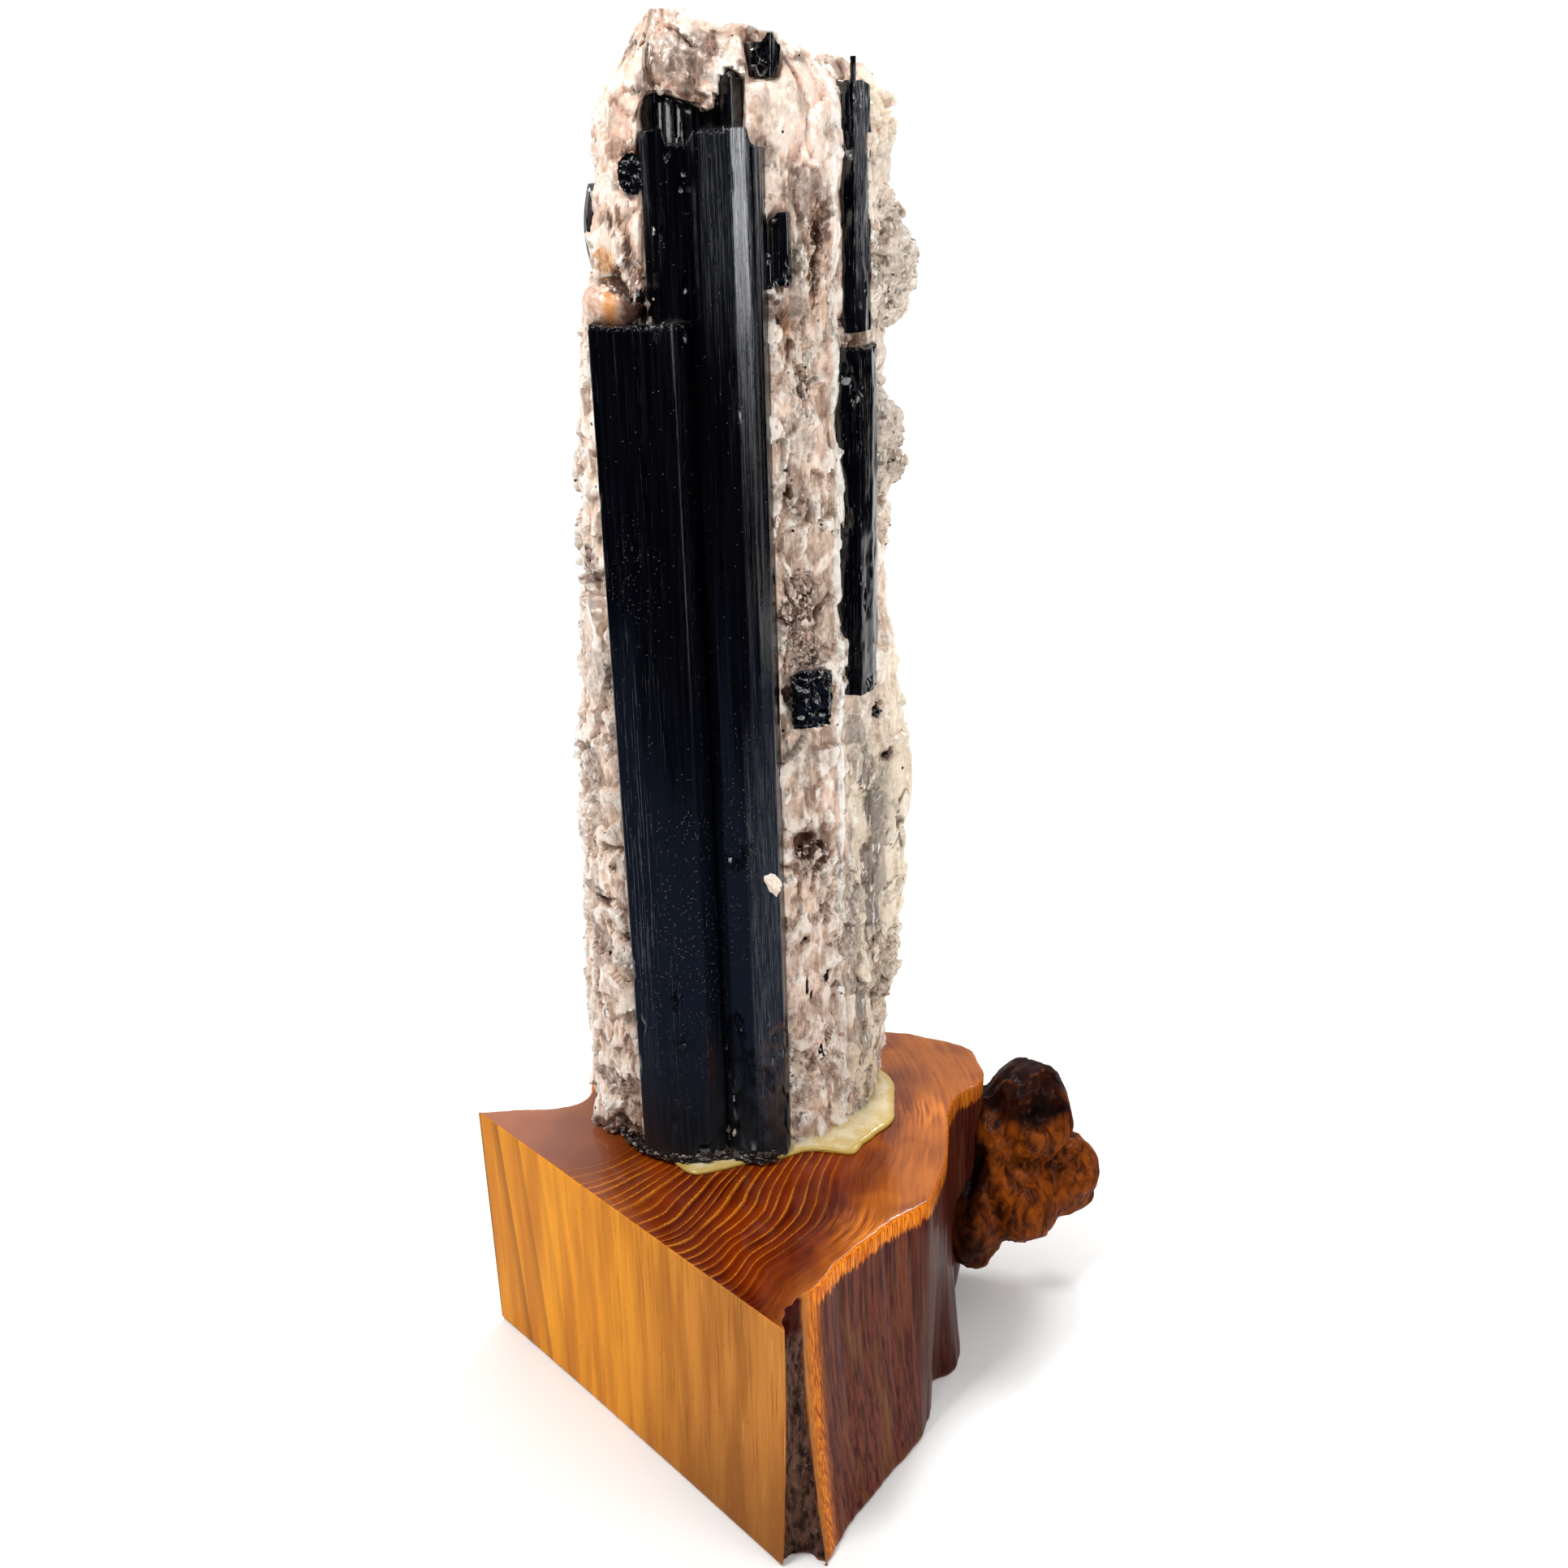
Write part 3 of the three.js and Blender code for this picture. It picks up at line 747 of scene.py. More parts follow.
def rock_material():
    """Pink feldspar, quartz, mica, rust, dark grains, the nodule; painted glow, highlight and shade."""
    s = Shader("pegmatite")
    (quartz, mica, dark), (crevice, stain, tone) = s.marks("minerals"), s.marks("weather")
    (face, ridge, rim), (crumbly, umber_and_shade, nodule) = s.marks("zones"), s.marks("texture")
    raised, block, _ = s.marks("relief")
    # How much the surface stands out, for painted highlights on edges and painted shade in dips.
    folds = s.pointiness()

    cloud = s.noise((3.2, 5), 5, 0.62).ramp(0.34, 0.66)
    # Painted light: raised parts of the relief painted pale as if lit, sunken parts brown as if in shade.
    wavy = raised + (cloud - 0.5) * 0.25
    pick = s.grains((1.4, 2), 11)[1]
    high = s.split(s.place, "XYZ")[2].ramp(258, 284)
    feldspar = s.coats(
        s.mix(cloud, (222, 190, 169), (252, 226, 206)),
        # Tone: the blocks' own tones, with painted light at the top and on the knobs.
        (tone.ramp(0.22, 0.42, 0.6, 0), s.mix(cloud, (156, 132, 114), (210, 188, 170))),
        (tone.ramp(0.55, 0.85, 0, 0.85), (250, 234, 220)),
        (wavy.ramp(0.14, 0.44, 0.52, 0), (142, 116, 98)),
        (wavy.ramp(0.54, 0.8, 0, 0.75), (255, 247, 238)),
        (s.noise((1.5, 3.4), 5, 0.68, shift=9).ramp(0.52, 0.72, 0, 0.5), (168, 138, 120)),
        (s.noise((0.6, 5), 4, 0.62, shift=19).ramp(0.54, 0.68, 0, 0.75), (252, 240, 230)),
        (pick.ramp(0.72, 1, 0, 0.7) * (crumbly + 0.15), (252, 242, 232)),
        (s.noise((5, 7), 3, 0.6, shift=51).ramp(0.42, 0.6, 0, 0.5) * high, (240, 192, 168)),
    )

    # The blocks of the right face, slate, glassy or cream.
    streaks = s.noise((0.8, 14), 4, shift=3).ramp(0.35, 0.65)
    mottled = s.noise((1.8, 3.4), 4, 0.6, shift=33) - 0.5
    block = s.math("MULTIPLY_ADD", mottled, 0.9, block)
    slate = s.mix(streaks, (98, 92, 86), (146, 136, 126))
    glassy = s.mix(streaks, (160, 146, 130), (216, 202, 184))
    blocky = s.mix(block.ramp(0.26, 0.42), slate, glassy)
    blocky = s.mix(block.ramp(0.55, 0.75), blocky, (244, 230, 208))

    grey = s.mix(s.noise(2.2, 5, 0.65).ramp(0.35, 0.65), (150, 132, 118), (226, 214, 202))
    glints = s.noise((0.9, 5), 3, shift=43).ramp(0.6, 0.68, 0, 0.85)
    brown = s.mix(s.grains((0.9, 0.5))[1], (84, 52, 38), (204, 180, 164))
    fibre = s.noise((0.5, 2.4), 4, 0.65, shift=14)
    rust = s.mix(fibre.ramp(0.35, 0.65), (184, 104, 36), (250, 204, 140))
    deep = s.mix(s.noise((0.9, 3), 4, shift=17).ramp(0.35, 0.7), (66, 36, 24), (158, 120, 98))
    slits = s.noise((0.4, 4), 3, 0.6, shift=37).ramp(0.42, 0.52, 0.1, 1)
    distance, pick = s.grains(3.1, 5)
    few = pick.ramp(0.8, 0.85) * quartz.ramp(0.2, 0.4, 1, 0)
    colour = s.coats(
        feldspar,
        (quartz.ramp(0.2, 0.9, 0, 0.7), grey),
        (face * 0.85, blocky),
        (face * glints, (255, 250, 240)),
        (mica.ramp(0.3, 0.8, 0, 0.85), brown),
        (stain.ramp(0.1, 0.8, 0, 0.8), rust),
        # Deep brown, partly the rock's own and partly painted shade.
        (umber_and_shade.ramp(0, 1, 0, 0.9), deep),
        # Painted light: the right edges painted pale cream as if lit through from behind.
        (rim * 0.75, (255, 240, 218)),
        (ridge.ramp(0.1, 0.6) * slits, (255, 252, 246)),
        (distance.ramp(0.1, 0.16, 1, 0) * few, (46, 30, 26)),
        # Painted highlight on edges that stand out, and painted shade in dips.
        (folds.ramp(0.52, 0.6, 0, 0.7), (255, 248, 240)),
        (folds.ramp(0.38, 0.48, 0.55, 0), (138, 108, 90)),
        (crevice.ramp(0.3, 0.9, 0, 0.85), (88, 54, 38)),
        (nodule, nodule_colour(s)),
        (dark.ramp(0.4, 0.7), (12, 11, 14)),
    )
    shade = s.noise((15, 22), 2, shift=31).ramp(0.35, 0.65)
    colour = s.mix(shade, s.mix(1, colour, (0.9, 0.87, 0.84, 1), "MULTIPLY"), colour)

    glossy = s.noise(3, 3, shift=2).ramp(0.35, 0.65, 0.06, 0.26)
    rough = s.math("MULTIPLY_ADD", crumbly, 0.6, 0.4) * (1 - nodule * 0.6)
    normal = s.bumps(
        (s.noise((3.4, 5.2), 2, 0.5, shift=23), 1.3),
        (s.facets((2.2, 3.2), 3) * rough, 1.6),
        (s.facets((0.7, 1.1), 1) * rough, 1.3),
        (s.noise((0.5, 0.9), 4, 0.7), 0.05),
    )
    return s.surface(Base_Color=colour, Roughness=glossy, Normal=normal, Subsurface_Weight=0.25,
                     Subsurface_Radius=(1, 0.7, 0.55), Subsurface_Scale=0.0018)


def nodule_colour(s):
    """Cream and pink at its left, amber inside, painted shade at its right, moss over its top."""
    place = s.mapped(s.place, shift=tuple(-v for v in NODULE_CENTRE))
    x, _, z = s.split(place, "XYZ")
    mottled = s.noise(1.3, 4, 0.6, shift=21)
    right = x + (mottled - 0.5) * 4
    moss = z + x * 0.55 + (mottled - 0.5) * 5
    mossy = s.mix(s.noise(0.7, 3, 0.6).ramp(0.58, 0.7), (40, 18, 8), (200, 120, 44))
    return s.coats(
        s.mix(mottled.ramp(0.35, 0.65), (196, 154, 132), (234, 206, 188)),
        (s.math("ABSOLUTE", x + 0.6).ramp(0.4, 2.4, 1, 0) * 0.8, (206, 132, 42)),
        # Painted shade: darker and darker towards the right side of the ball, so that it looks round.
        (right.ramp(0.4, 2.6, 0, 0.9), (66, 26, 18)),
        (right.ramp(3.6, 5.4, 0, 0.95), (7, 3, 3)),
        (moss.ramp(2, 3, 0, 0.95), mossy),
        (moss.ramp(3.6, 4.6), (50, 24, 12)),
    )


# ==== Chips of rock =============================================================================

CHIP_COUNT = 2600
# Dark brown chips along the foot of the crystals, from the left corner to the glue.
FOOT_CHIP_COUNT = 420
FOOT_CHIP_LINE = [
    (-32, -17), (-28, -23), (-24, -28), (-18.5, -31), (-13, -32.4), (-8, -32), (-3.5, -31),
    (1, -32), (5, -33), (8, -31.8),
]


def flake():
    """The pale splinter that laps over the crystals' right edge: vertices and faces."""
    points, faces = ball(3)
    spiky = 0.85 + 0.3 * noise(points, 0.55, 95) + 0.3 * noise(points, 0.24, 96)
    points = points * spiky[:, None] * FLAKE_SIZE
    points[:, 0] -= 0.3 * points[:, 2]
    return points + FLAKE_CENTRE, faces


def chip_shape(rng):
    """The hull of a few random points: vertices and triangles of one angular chip."""
    scratch = bmesh.new()
    for _ in range(12):
        spot = rng.normal(size=3)
        scratch.verts.new(spot / np.linalg.norm(spot) * (0.75 + 0.25 * rng.random()))
    bmesh.ops.convex_hull(scratch, input=scratch.verts)
    loose = [vertex for vertex in scratch.verts if not vertex.link_faces]
    bmesh.ops.delete(scratch, geom=loose, context="VERTS")
    bmesh.ops.recalc_face_normals(scratch, faces=scratch.faces)
    scratch.verts.index_update()
    return taken(scratch)


def turning(angles):
    """A turn about three axes as a matrix."""
    first, second, third = (Matrix.Rotation(turn, 3, axis) for turn, axis in zip(angles, "XYZ"))
    return np.array(first @ second @ third)


def chips(rock_points, crumbly):
    """Angular chips and flakes of mineral where the rock has crumbled, as one mesh."""
    rng = np.random.default_rng(7)
    shapes = [chip_shape(rng) for _ in range(30)]
    rows = rock_points[:ROCK_ROWS]
    front = (ROCK_SPOTS > 1.2) & (ROCK_SPOTS < 3.4)
    right = (ROCK_SPOTS > 5) & (ROCK_SPOTS < 8.6)
    weight = np.where(front | right, 1, 0.2) * (0.03 + crumbly[:ROCK_ROWS] ** 2)
    weight[:2] = 0
    weight /= weight.sum()
    normals = outward(rows[..., :2])
    skins, marks = [], []
    for index in rng.choice(weight.size, CHIP_COUNT, p=weight.ravel(), replace=False):
        spot = divmod(int(index), rows.shape[1])
        shape, faces = shapes[rng.integers(len(shapes))]
        size = 0.35 + rng.random() ** 4
        upright = 1 + 0.9 * rng.random()
        x, y = normals[spot]
        basis = np.array([[-y, x, 0], [0, 0, 1], [x, y, 0]])
        turn = turning(rng.normal(size=3) * 0.3)
        body = (shape * np.array([size, size * upright, size * 0.6])) @ turn.T @ basis
        skins.append((body + rows[spot] - basis[2] * (0.3 * size), faces))
        marks.append(np.tile([rng.random(), 0.93 * rng.random()], (len(body), 1)))
    for share in rng.random(FOOT_CHIP_COUNT):
        x, y = (np.interp(share, np.linspace(0, 1, len(FOOT_CHIP_LINE)), row) for row in zip(*FOOT_CHIP_LINE))
        shape, faces = shapes[rng.integers(len(shapes))]
        size = (0.5 + 0.9 * rng.random() ** 2) * np.array([1.2, 0.9, 0.7])
        spot = np.array([x, y + 1.2 * rng.random(), STONE_FOOT + 0.4 + 1.8 * rng.random() ** 2])
        skins.append((shape * size + spot, faces))
        marks.append(np.tile([0.5, 0.95], (len(shape), 1)))
    skins.append(flake())
    marks.append(np.tile([1, 0.1], (len(skins[-1][0]), 1)))
    points, faces = joined(skins)
    points[:, 2] = np.clip(points[:, 2], STONE_FOOT - 0.5, STONE_TOP - 0.5)
    marks = {"chip": np.concatenate(marks)}
    return added("rock_chips", points, faces, chip_material(), marks, soft=False)


def chip_material():
    """Pink, grey and dark chips, by each one's kind."""
    s = Shader("mineral_chips")
    tone, kind, _ = s.marks("chip")
    colour = s.coats(
        s.mix(tone, (178, 142, 122), (236, 218, 204)),
        (kind.ramp(0.6, 0.64), s.mix(s.noise(1.2), (140, 126, 112), (208, 196, 182))),
        (kind.ramp(0.93, 0.94), (34, 20, 15)),
    )
    normal = s.bumps((s.noise(0.4, 3, 0.6), 0.05))
    rough = s.noise(0.9, 2).ramp(0.3, 0.7, 0.2, 0.5)
    return s.surface(Base_Color=colour, Roughness=rough, Normal=normal, Subsurface_Weight=0.25,
                     Subsurface_Radius=(1, 0.55, 0.35), Subsurface_Scale=0.0015)


# ==== Crystals ==================================================================================

CRYSTAL_TOP = 295.5
PRISM_TOP = 261


def round_outline(x, y, radius):
    """The many-sided outline of a thin round crystal."""
    return [(x + radius * math.cos(turn), y + radius * math.sin(turn)) for turn in around(9)]


def rod(x, y, radius, top, tilt):
    """One of the thin round crystals that lean back behind the stepped part."""
    return dict(outline=round_outline(x, y, radius), foot=PRISM_TOP + 29, top=top, pitch=0.25,
                rise=0.8, chipping=0.5, ribs=0.4, tilt=tilt)


# Each crystal's outline in plan, its foot and top, the pitch and rise of its points, how chipped
# its edges and how strong its ribs are. A crown is how far its top rises or drops along x.
MAIN_GROUP = {
    "left_prism": dict(
        outline=[(-24, -28), (-18.5, -31), (-13, -32.4), (-7.4, -32), (-4, -28.4), (0, -20),
                 (-5, -10), (-16, -9), (-22.5, -17)],
        foot=STONE_FOOT, top=PRISM_TOP, pitch=0.34, rise=1.3, chipping=0.5, ribs=0.34),
    "ridge_crystal": dict(
        outline=[(-4.6, -24), (-3.4, -28), (-1.4, -31.2), (1.5, -32.6), (5, -33.4), (8, -31.8),
                 (10.4, -29.6), (11.4, -26), (11.6, -21), (8, -12), (-1, -10), (-6, -17)],
        foot=STONE_FOOT, top=CRYSTAL_TOP, pitch=0.3, rise=1.2, chipping=0.35,
        crown=[(-6, -4.4), (-4, -2.6), (-1.6, -0.2), (8.3, 0.2), (9, -2.6), (11.6, -3.4)]),
    "stepped_part": dict(
        outline=[(-12.2, -25), (-9, -27.3), (-4.5, -27.5), (-1.5, -26), (-1, -17), (-8, -12),
                 (-12, -16)],
        foot=PRISM_TOP - 20, top=CRYSTAL_TOP + 0.5, rise=0.6, chipping=0.7, ribs=1.6,
        crown=[(-12.2, -0.6), (-10, 0), (-7.8, 0), (-7.3, -2.8), (-5.4, -3.2), (-1, -3.6)]),
    "back_stub": dict(
        outline=[(-13, -19.5), (-10, -20.5), (-4.2, -20.5), (-3.4, -13), (-12.6, -12)],
        foot=PRISM_TOP + 20, top=303, pitch=0.4, rise=0.8, chipping=0.8, ribs=2),
    "left_rod": rod(-8.1, -21, 0.8, 300.4, 0.25),
    "middle_rod": rod(-6.5, -23, 1.05, 301.2, 0.3),
    "right_rod": rod(-4.6, -22, 0.8, 300.4, 0.34),
    "sloping_part": dict(
        outline=[(-6, -21), (-1, -21.6), (3.6, -21.4), (4.4, -12), (-6, -12)],
        foot=PRISM_TOP + 10, top=301, pitch=0.4, rise=0.8, chipping=0.8,
        crown=[(-6, 1.2), (-3.9, 0.6), (-0.8, -0.9), (0.4, -1.6), (2.6, -1), (4.4, 1)]),
    "low_extension": dict(
        outline=[(8.4, -26), (9.2, -28.8), (12.2, -28), (12.6, -22), (9, -20)],
        foot=266.6, top=273.4, chipping=0.8, ribs=0.4),
    "rounded_part": dict(
        outline=[(2.6, -20), (3.6, -24.2), (5.4, -25.2), (7.4, -23.6), (7.6, -15), (3.6, -14)],
        foot=PRISM_TOP + 10, top=305.6, rise=0.7, ribs=0.5,
        crown=[(3, -3), (3.8, -1.2), (5.4, 0), (6.3, -0.4), (6.9, -1.6)]),
}

SINGLE_CRYSTALS = {
    "top_crystal": dict(
        outline=[(8.2, -20.8), (9.4, -23), (13.2, -23.2), (15.2, -21), (13.6, -16), (9.6, -16.2)],
        foot=304.4, top=311.2, rise=0.35, chipping=1.4, taper=0.2,
        crown=[(8, -0.8), (11.6, -1), (12.6, 0.6), (13.6, 0.8), (14.2, -0.8), (15.4, -1.4)]),
    "small_crystal": dict(
        outline=[(11.9, -22), (12, -26.8), (15.6, -26.4), (16.2, -23.6), (15.4, -17), (12.6, -17.4)],
        foot=267, top=280.5, ribs=0.3, crown=[(11.9, -1.4), (13.2, -0.6), (13.6, 0), (16.2, 0.1)]),
    "rough_crystal": dict(
        outline=[(13.2, -21.5), (14, -25.4), (18, -26), (22.6, -23.6), (23.6, -19), (21, -12),
                 (14.6, -14)],
        foot=174.8, top=187.6, pitch=0.28, rise=0.3, chipping=2.6, uneven=0.9,
        crown=[(13, -1.6), (15, -0.4), (17, 0.4), (19, -0.2), (21, 0.3), (23.6, -1.2)]),
    "side_tourmaline_upper": dict(
        outline=[(26.6, -13.8), (29, -14.6), (31.4, -11.2), (32.9, -7.8), (32.4, -3.6),
                 (26.5, -1.5), (24.4, -6.5)],
        foot=256.4, top=303.6, pitch=0.28, rise=0.7, chipping=1.3, ribs=0.7, uneven=0.6,
        crown=[(23, 0), (31.5, 0), (33, -1.2), (34.2, -3)]),
    "side_spike": dict(
        outline=[(28.6, -8.8), (29.7, -9.1), (29.9, -6.8), (28.8, -6.4)],
        foot=302.5, top=308, pitch=0.25, rise=0.3),
    "side_tourmaline_lower": dict(
        outline=[(24.9, -13.8), (29.8, -15.4), (32.8, -11.2), (34, -7.4), (33, -3.4), (26, -1.5),
                 (22.8, -6.6)],
        foot=178.4, top=253.6, pitch=0.28, rise=0.9, chipping=0.9, ribs=0.6, uneven=0.35),
    "sliver_crystal": dict(
        outline=[(-24.2, -6.6), (-23.4, -8), (-21.8, -6.4), (-21.8, -2.6), (-23.4, -1.8),
                 (-24.4, -4.2)],
        foot=268.5, top=286, chipping=0.6, bow=1.4),
}

FOOT_HOLLOWS = [
    (2.4, -31, 84, 5, 10, 14), (6.5, -31, 76, 4.5, 10, 11), (-4, -31, 71, 6, 10, 5),
    (-1, -31, 96, 2.2, 10, 12),
]
PITS = [
    (1.6, -33, 148.5, 3.4, 5, 4.2), (8.5, -30, 98, 3, 5, 6), (-13, -32, 100, 3, 4, 0.8),
    (-14, -32, 112, 1.4, 4, 2.2),
]
SCUFFS = [(-17, -31, 211, 6, 8, 12), (3, -33, 150, 6, 8, 30), (-12, -31, 120, 12, 8, 40)]
# Painted sheen: facets painted slate grey where they show a reflection. From and to along x, from
# what height and over what rise, to what height and over what fade, and how strong.
PAINTED_SHEEN = [
    (5.2, 8.5, 215, 85, 295.4, 0.8, 0.95), (9.4, 10.8, 256, 26, 293, 0.8, 0.4),
    (-0.8, 5.2, 250, 26, 295.4, 0.8, 0.13), (29.2, 35, 256, 26, 306, 0.8, 0.4),
    (-27, -22.5, 266, 26, 290, 0.8, 0.7), (-12, -10.6, 270, 26, 297, 0.8, 0.2),
    (3.6, 10.4, 66, 26, 148, 40, 0.2),
]
END_RINGS = 9


def crystal_loops(outline, foot, top, pitch=0.3, rise=0.5, chipping=0.5, ribs=1, taper=0, tilt=0,
                  bow=0, uneven=0, crown=None, seed=0):
    """Rows of points of a striated upright crystal with a chipped, uneven end."""
    loop = resampled(outline, pitch)
    rounded = (np.roll(loop, 1, axis=0) + 2 * loop + np.roll(loop, -1, axis=0)) / 4
    corner = np.linalg.norm(rounded - loop, axis=1) / pitch
    levels = np.linspace(0, 1, max(6, round((top - foot) / rise)))[:, None]
    reach = top - foot + (along(crown, loop[:, 0]) if crown else 0 * loop[:, 0])
    z = foot + levels * reach
    middle = rounded.mean(axis=0)
    flat = middle + (rounded - middle) * (1 - taper * (1 - levels[..., None]))
    points = np.concatenate([flat, z[..., None]], -1)

    # Ribs along the crystal, finer ones and fine cuts, all fainter in places.
    grid = stacked(run_of(loop), 0, z)
    depth = 0.09 * noise(grid, (2.4, 1, 190), seed + 1) + 0.07 * noise(grid, (1.1, 1, 120), seed + 2)
    depth += 0.05 * noise(grid, (0.62, 1, 60), seed + 3)
    depth -= 0.045 * smooth(noise(grid, (1.6, 1, 45), seed + 4), 0.3, 0.36)
    depth *= ribs * (0.25 + 0.85 * smooth(noise(grid, (5, 1, 45), seed + 6), -0.4, 0.5))

    # Chips broken off its edges and ends.
    block, _, edge = cells(points, (2.2, 2.2, 3), seed + 5)
    near_end = np.exp(-(reach * (1 - levels)) / 2.5) + np.exp(-reach * levels / 2.5)
    edge_on = np.clip(np.roll(corner, 1) + corner + np.roll(corner, -1), 0, 1)
    chance = 0.012 + 0.3 * near_end + 0.35 * edge_on
    chip = (hashed(block, seed + 8) < chance * chipping) * smooth(edge, 0, 0.12)
    depth -= chip * (0.35 + 0.5 * hashed(block, seed + 9)) * min(1, chipping + 0.3)
    if chipping > 2:
        depth += 0.9 * layered(points, 2, seed + 12) - 0.2
    if uneven:
        depth += uneven * (layered(points, (2.6, 2.6, 6), seed + 13) - 0.4)
    points[..., :2] += outward(loop) * depth[..., None]
    points[..., 0] -= bow * np.sin(math.pi * levels)
    points[..., 1] += tilt * (points[..., 2] - CRYSTAL_TOP)
    return points


def crystal_skin(shape, seed):
    """Vertices and faces of one crystal, closed by uneven ends, and which points are the end's."""
    points = crystal_loops(**shape, seed=seed)
    top = shrinking(points[-1], END_RINGS)
    fade = smooth(np.arange(1, END_RINGS + 1) / END_RINGS, 0, 0.3)[:, None]
    rough = 0.5 + 0.4 * min(shape.get("chipping", 0.5), 1.5)
    top[..., 2] -= fade * rough * hashed(cells(top, (3.5, 3.5, 40), seed + 20)[0], seed + 21)
    points[-1, :, 2] -= 0.5 * smooth(noise(points[-1], (2, 2, 50), seed + 22), -0.2, 0.6)
    vertices, faces = skin(np.concatenate([points, top]))
    ends = np.zeros(len(vertices))
    ends[-(END_RINGS + 1) * points.shape[1] :] = 1
    return vertices, faces, ends


def crystal_marks(points, ends):
    """The crystals' scuffs, their foot for a painted reflection, broken ends and painted sheen."""
    scuff = patches(points, SCUFFS, 701, 0.8)
    x, z = points[:, 0], points[:, 2]
    painted_sheen = np.zeros(len(points))
    for left, right, foot, rise, top, fade, share in PAINTED_SHEEN:
        inside = span(x, left - 0.25, left + 0.25, right - 0.25, right + 0.25)
        painted_sheen = np.maximum(painted_sheen, share * inside * span(z, foot, foot + rise, top, top + fade))
    # Painted reflection: the lower crystals tinted blue grey as if mirroring the table.
    low = 1 - smooth(z, 120, 190)
    return {"wear": stacked(scuff, low, ends), "facets": painted_sheen[:, None]}


def crystal_piece(name, points, faces, ends, material, crease=50):
    """A mesh object of crystals that are already shaped."""
    return added(name, points, faces, material, crystal_marks(points, ends), crease)


def main_crystals(material):
    """The large crystals, grown together, with a hollowed foot and pits in front."""
    skins = [crystal_skin(shape, 1000 + 50 * n) for n, shape in enumerate(MAIN_GROUP.values())]
    points, faces = joined([each[:2] for each in skins])
    hollow = patches(points, FOOT_HOLLOWS, 711, 0.6)
    uneven = 0.5 + 0.5 * layered(points, 3, 712)
    front = points[:, 1] < -24
    points[:, 1] += hollow * (1.1 + 1.3 * uneven) * front
    pits = patches(points, PITS, 721, 0.9)
    points[:, 1] += pits * (0.7 + 1.3 * layered(points, (1.6, 1.6, 0.7), 722)) * front
    ends = np.concatenate([each[2] for each in skins])
    return crystal_piece("main_crystals", points, faces, ends, material)


def end_on_crystal(material):
    """The small round crystal that lies with its end to the front."""
    centre, radii, length = np.array([-14, -20.8, 288]), (2.5, 3.8), 8.8
    turns = around(150)
    ring = stacked(radii[0] * np.cos(turns), 0, radii[1] * np.sin(turns))
    rows = centre + ring + np.linspace(length / 2, -length / 2, 24)[:, None, None] * [0, 1, 0]
    grooves = np.cos(turns * 17 + 1.5 * noise(rows, (2, 8, 2), 803))
    uneven = 1 + 0.05 * noise(rows, (1, 8, 1), 801) + 0.03 * grooves
    rows = centre + (rows - centre) * stacked(uneven, 1, uneven)
    end = shrinking(rows[-1], 10)
    block = cells(end, (0.9, 50, 0.9), 802)[0]
    end[..., 1] += 0.8 * hashed(block, 803) - 0.2 + 0.3 * noise(end, 0.8, 804)
    points, faces = skin(np.concatenate([rows, end]))
    return crystal_piece("round_crystal_fine", points, faces, np.zeros(len(points)), material, 40)


def tourmaline_material():
    """Glossy black, fine lines, painted slate sheen and blue reflection, pale dust, sugary broken ends."""
    s = Shader("black_tourmaline")
    scuff, low, ends = s.marks("wear")
    painted_sheen = s.marks("facets")[0]
    streaks = s.noise((0.35, 40), 4, 0.6)
    fine = s.noise((0.22, 9), 4, 0.7, shift=15)
    broad = s.noise((0.9, 34), 3, 0.6, shift=18)
    pitted = s.noise((0.4, 1.3), 3, 0.7, shift=16).ramp(0.3, 0.46)
    slate = s.coats(
        s.mix(fine.ramp(0.42, 0.64), (36, 40, 48), (150, 152, 156)),
        (broad.ramp(0.36, 0.5, 0.75, 0), (44, 48, 56)),
    )
    distance, pick = s.grains(0.55)
    few = s.math("MAXIMUM", pick.ramp(0.93, 0.97), pick.ramp(0.55, 0.75) * scuff)
    sugar = s.grains(0.3, 6)[1].ramp(0.7, 0.98)
    colour = s.coats(
        s.mix(streaks.ramp(0.4, 0.75), (1, 1, 3), (8, 10, 18)),
        # Painted reflection: blue grey towards the foot.
        (low * 0.5, (14, 18, 28)),
        # Painted sheen: slate grey with pits on the facets that show a reflection.
        (painted_sheen, s.mix(pitted, (30, 34, 42), slate)),
        (distance.ramp(0.1, 0.2, 1, 0) * few * 0.6, (170, 156, 140)),
        (sugar * (ends * 0.5), (150, 150, 152)),
    )
    foot = s.split(s.place, "XYZ")[2].ramp(STONE_FOOT, 120, 1, 0)
    rough = s.noise((0.8, 18), 3, shift=4).ramp(0.3, 0.7, 0.06, 0.22) + foot * 0.35
    lines = s.noise((0.3, 22), 2, 0.6, shift=12).ramp(0.6, 0.68)
    lines = lines * s.noise((4, 26), 3, shift=29).ramp(0.4, 0.65, 0.2, 1)
    normal = s.bumps(
        (s.noise((0.3, 25), 3, 0.7, shift=7), 0.02),
        (lines, 0.05),
        (s.noise((0.16, 7), 2, 0.6, shift=9), 0.01),
        (s.noise((0.4, 0.8), 3, 0.7), 0.014),
    )
    return s.surface(Base_Color=colour, Roughness=rough, Normal=normal, IOR=1.63)


# ==== Glue ======================================================================================

GLUE_EDGE = [
    (-33, -8), (-22, -24), (-15, -33.6), (-11.4, -36), (-6, -34.6), (2, -32), (9, -30.4),
    (15.4, -27.8), (21.4, -28.6), (26.6, -29.4), (29.4, -25.6), (33, -21.4), (37.4, -16),
    (38.2, -8), (38.8, 0), (36.6, 5.6), (32, 12), (20, 24), (0, 28), (-20, 25), (-33, 10),
]
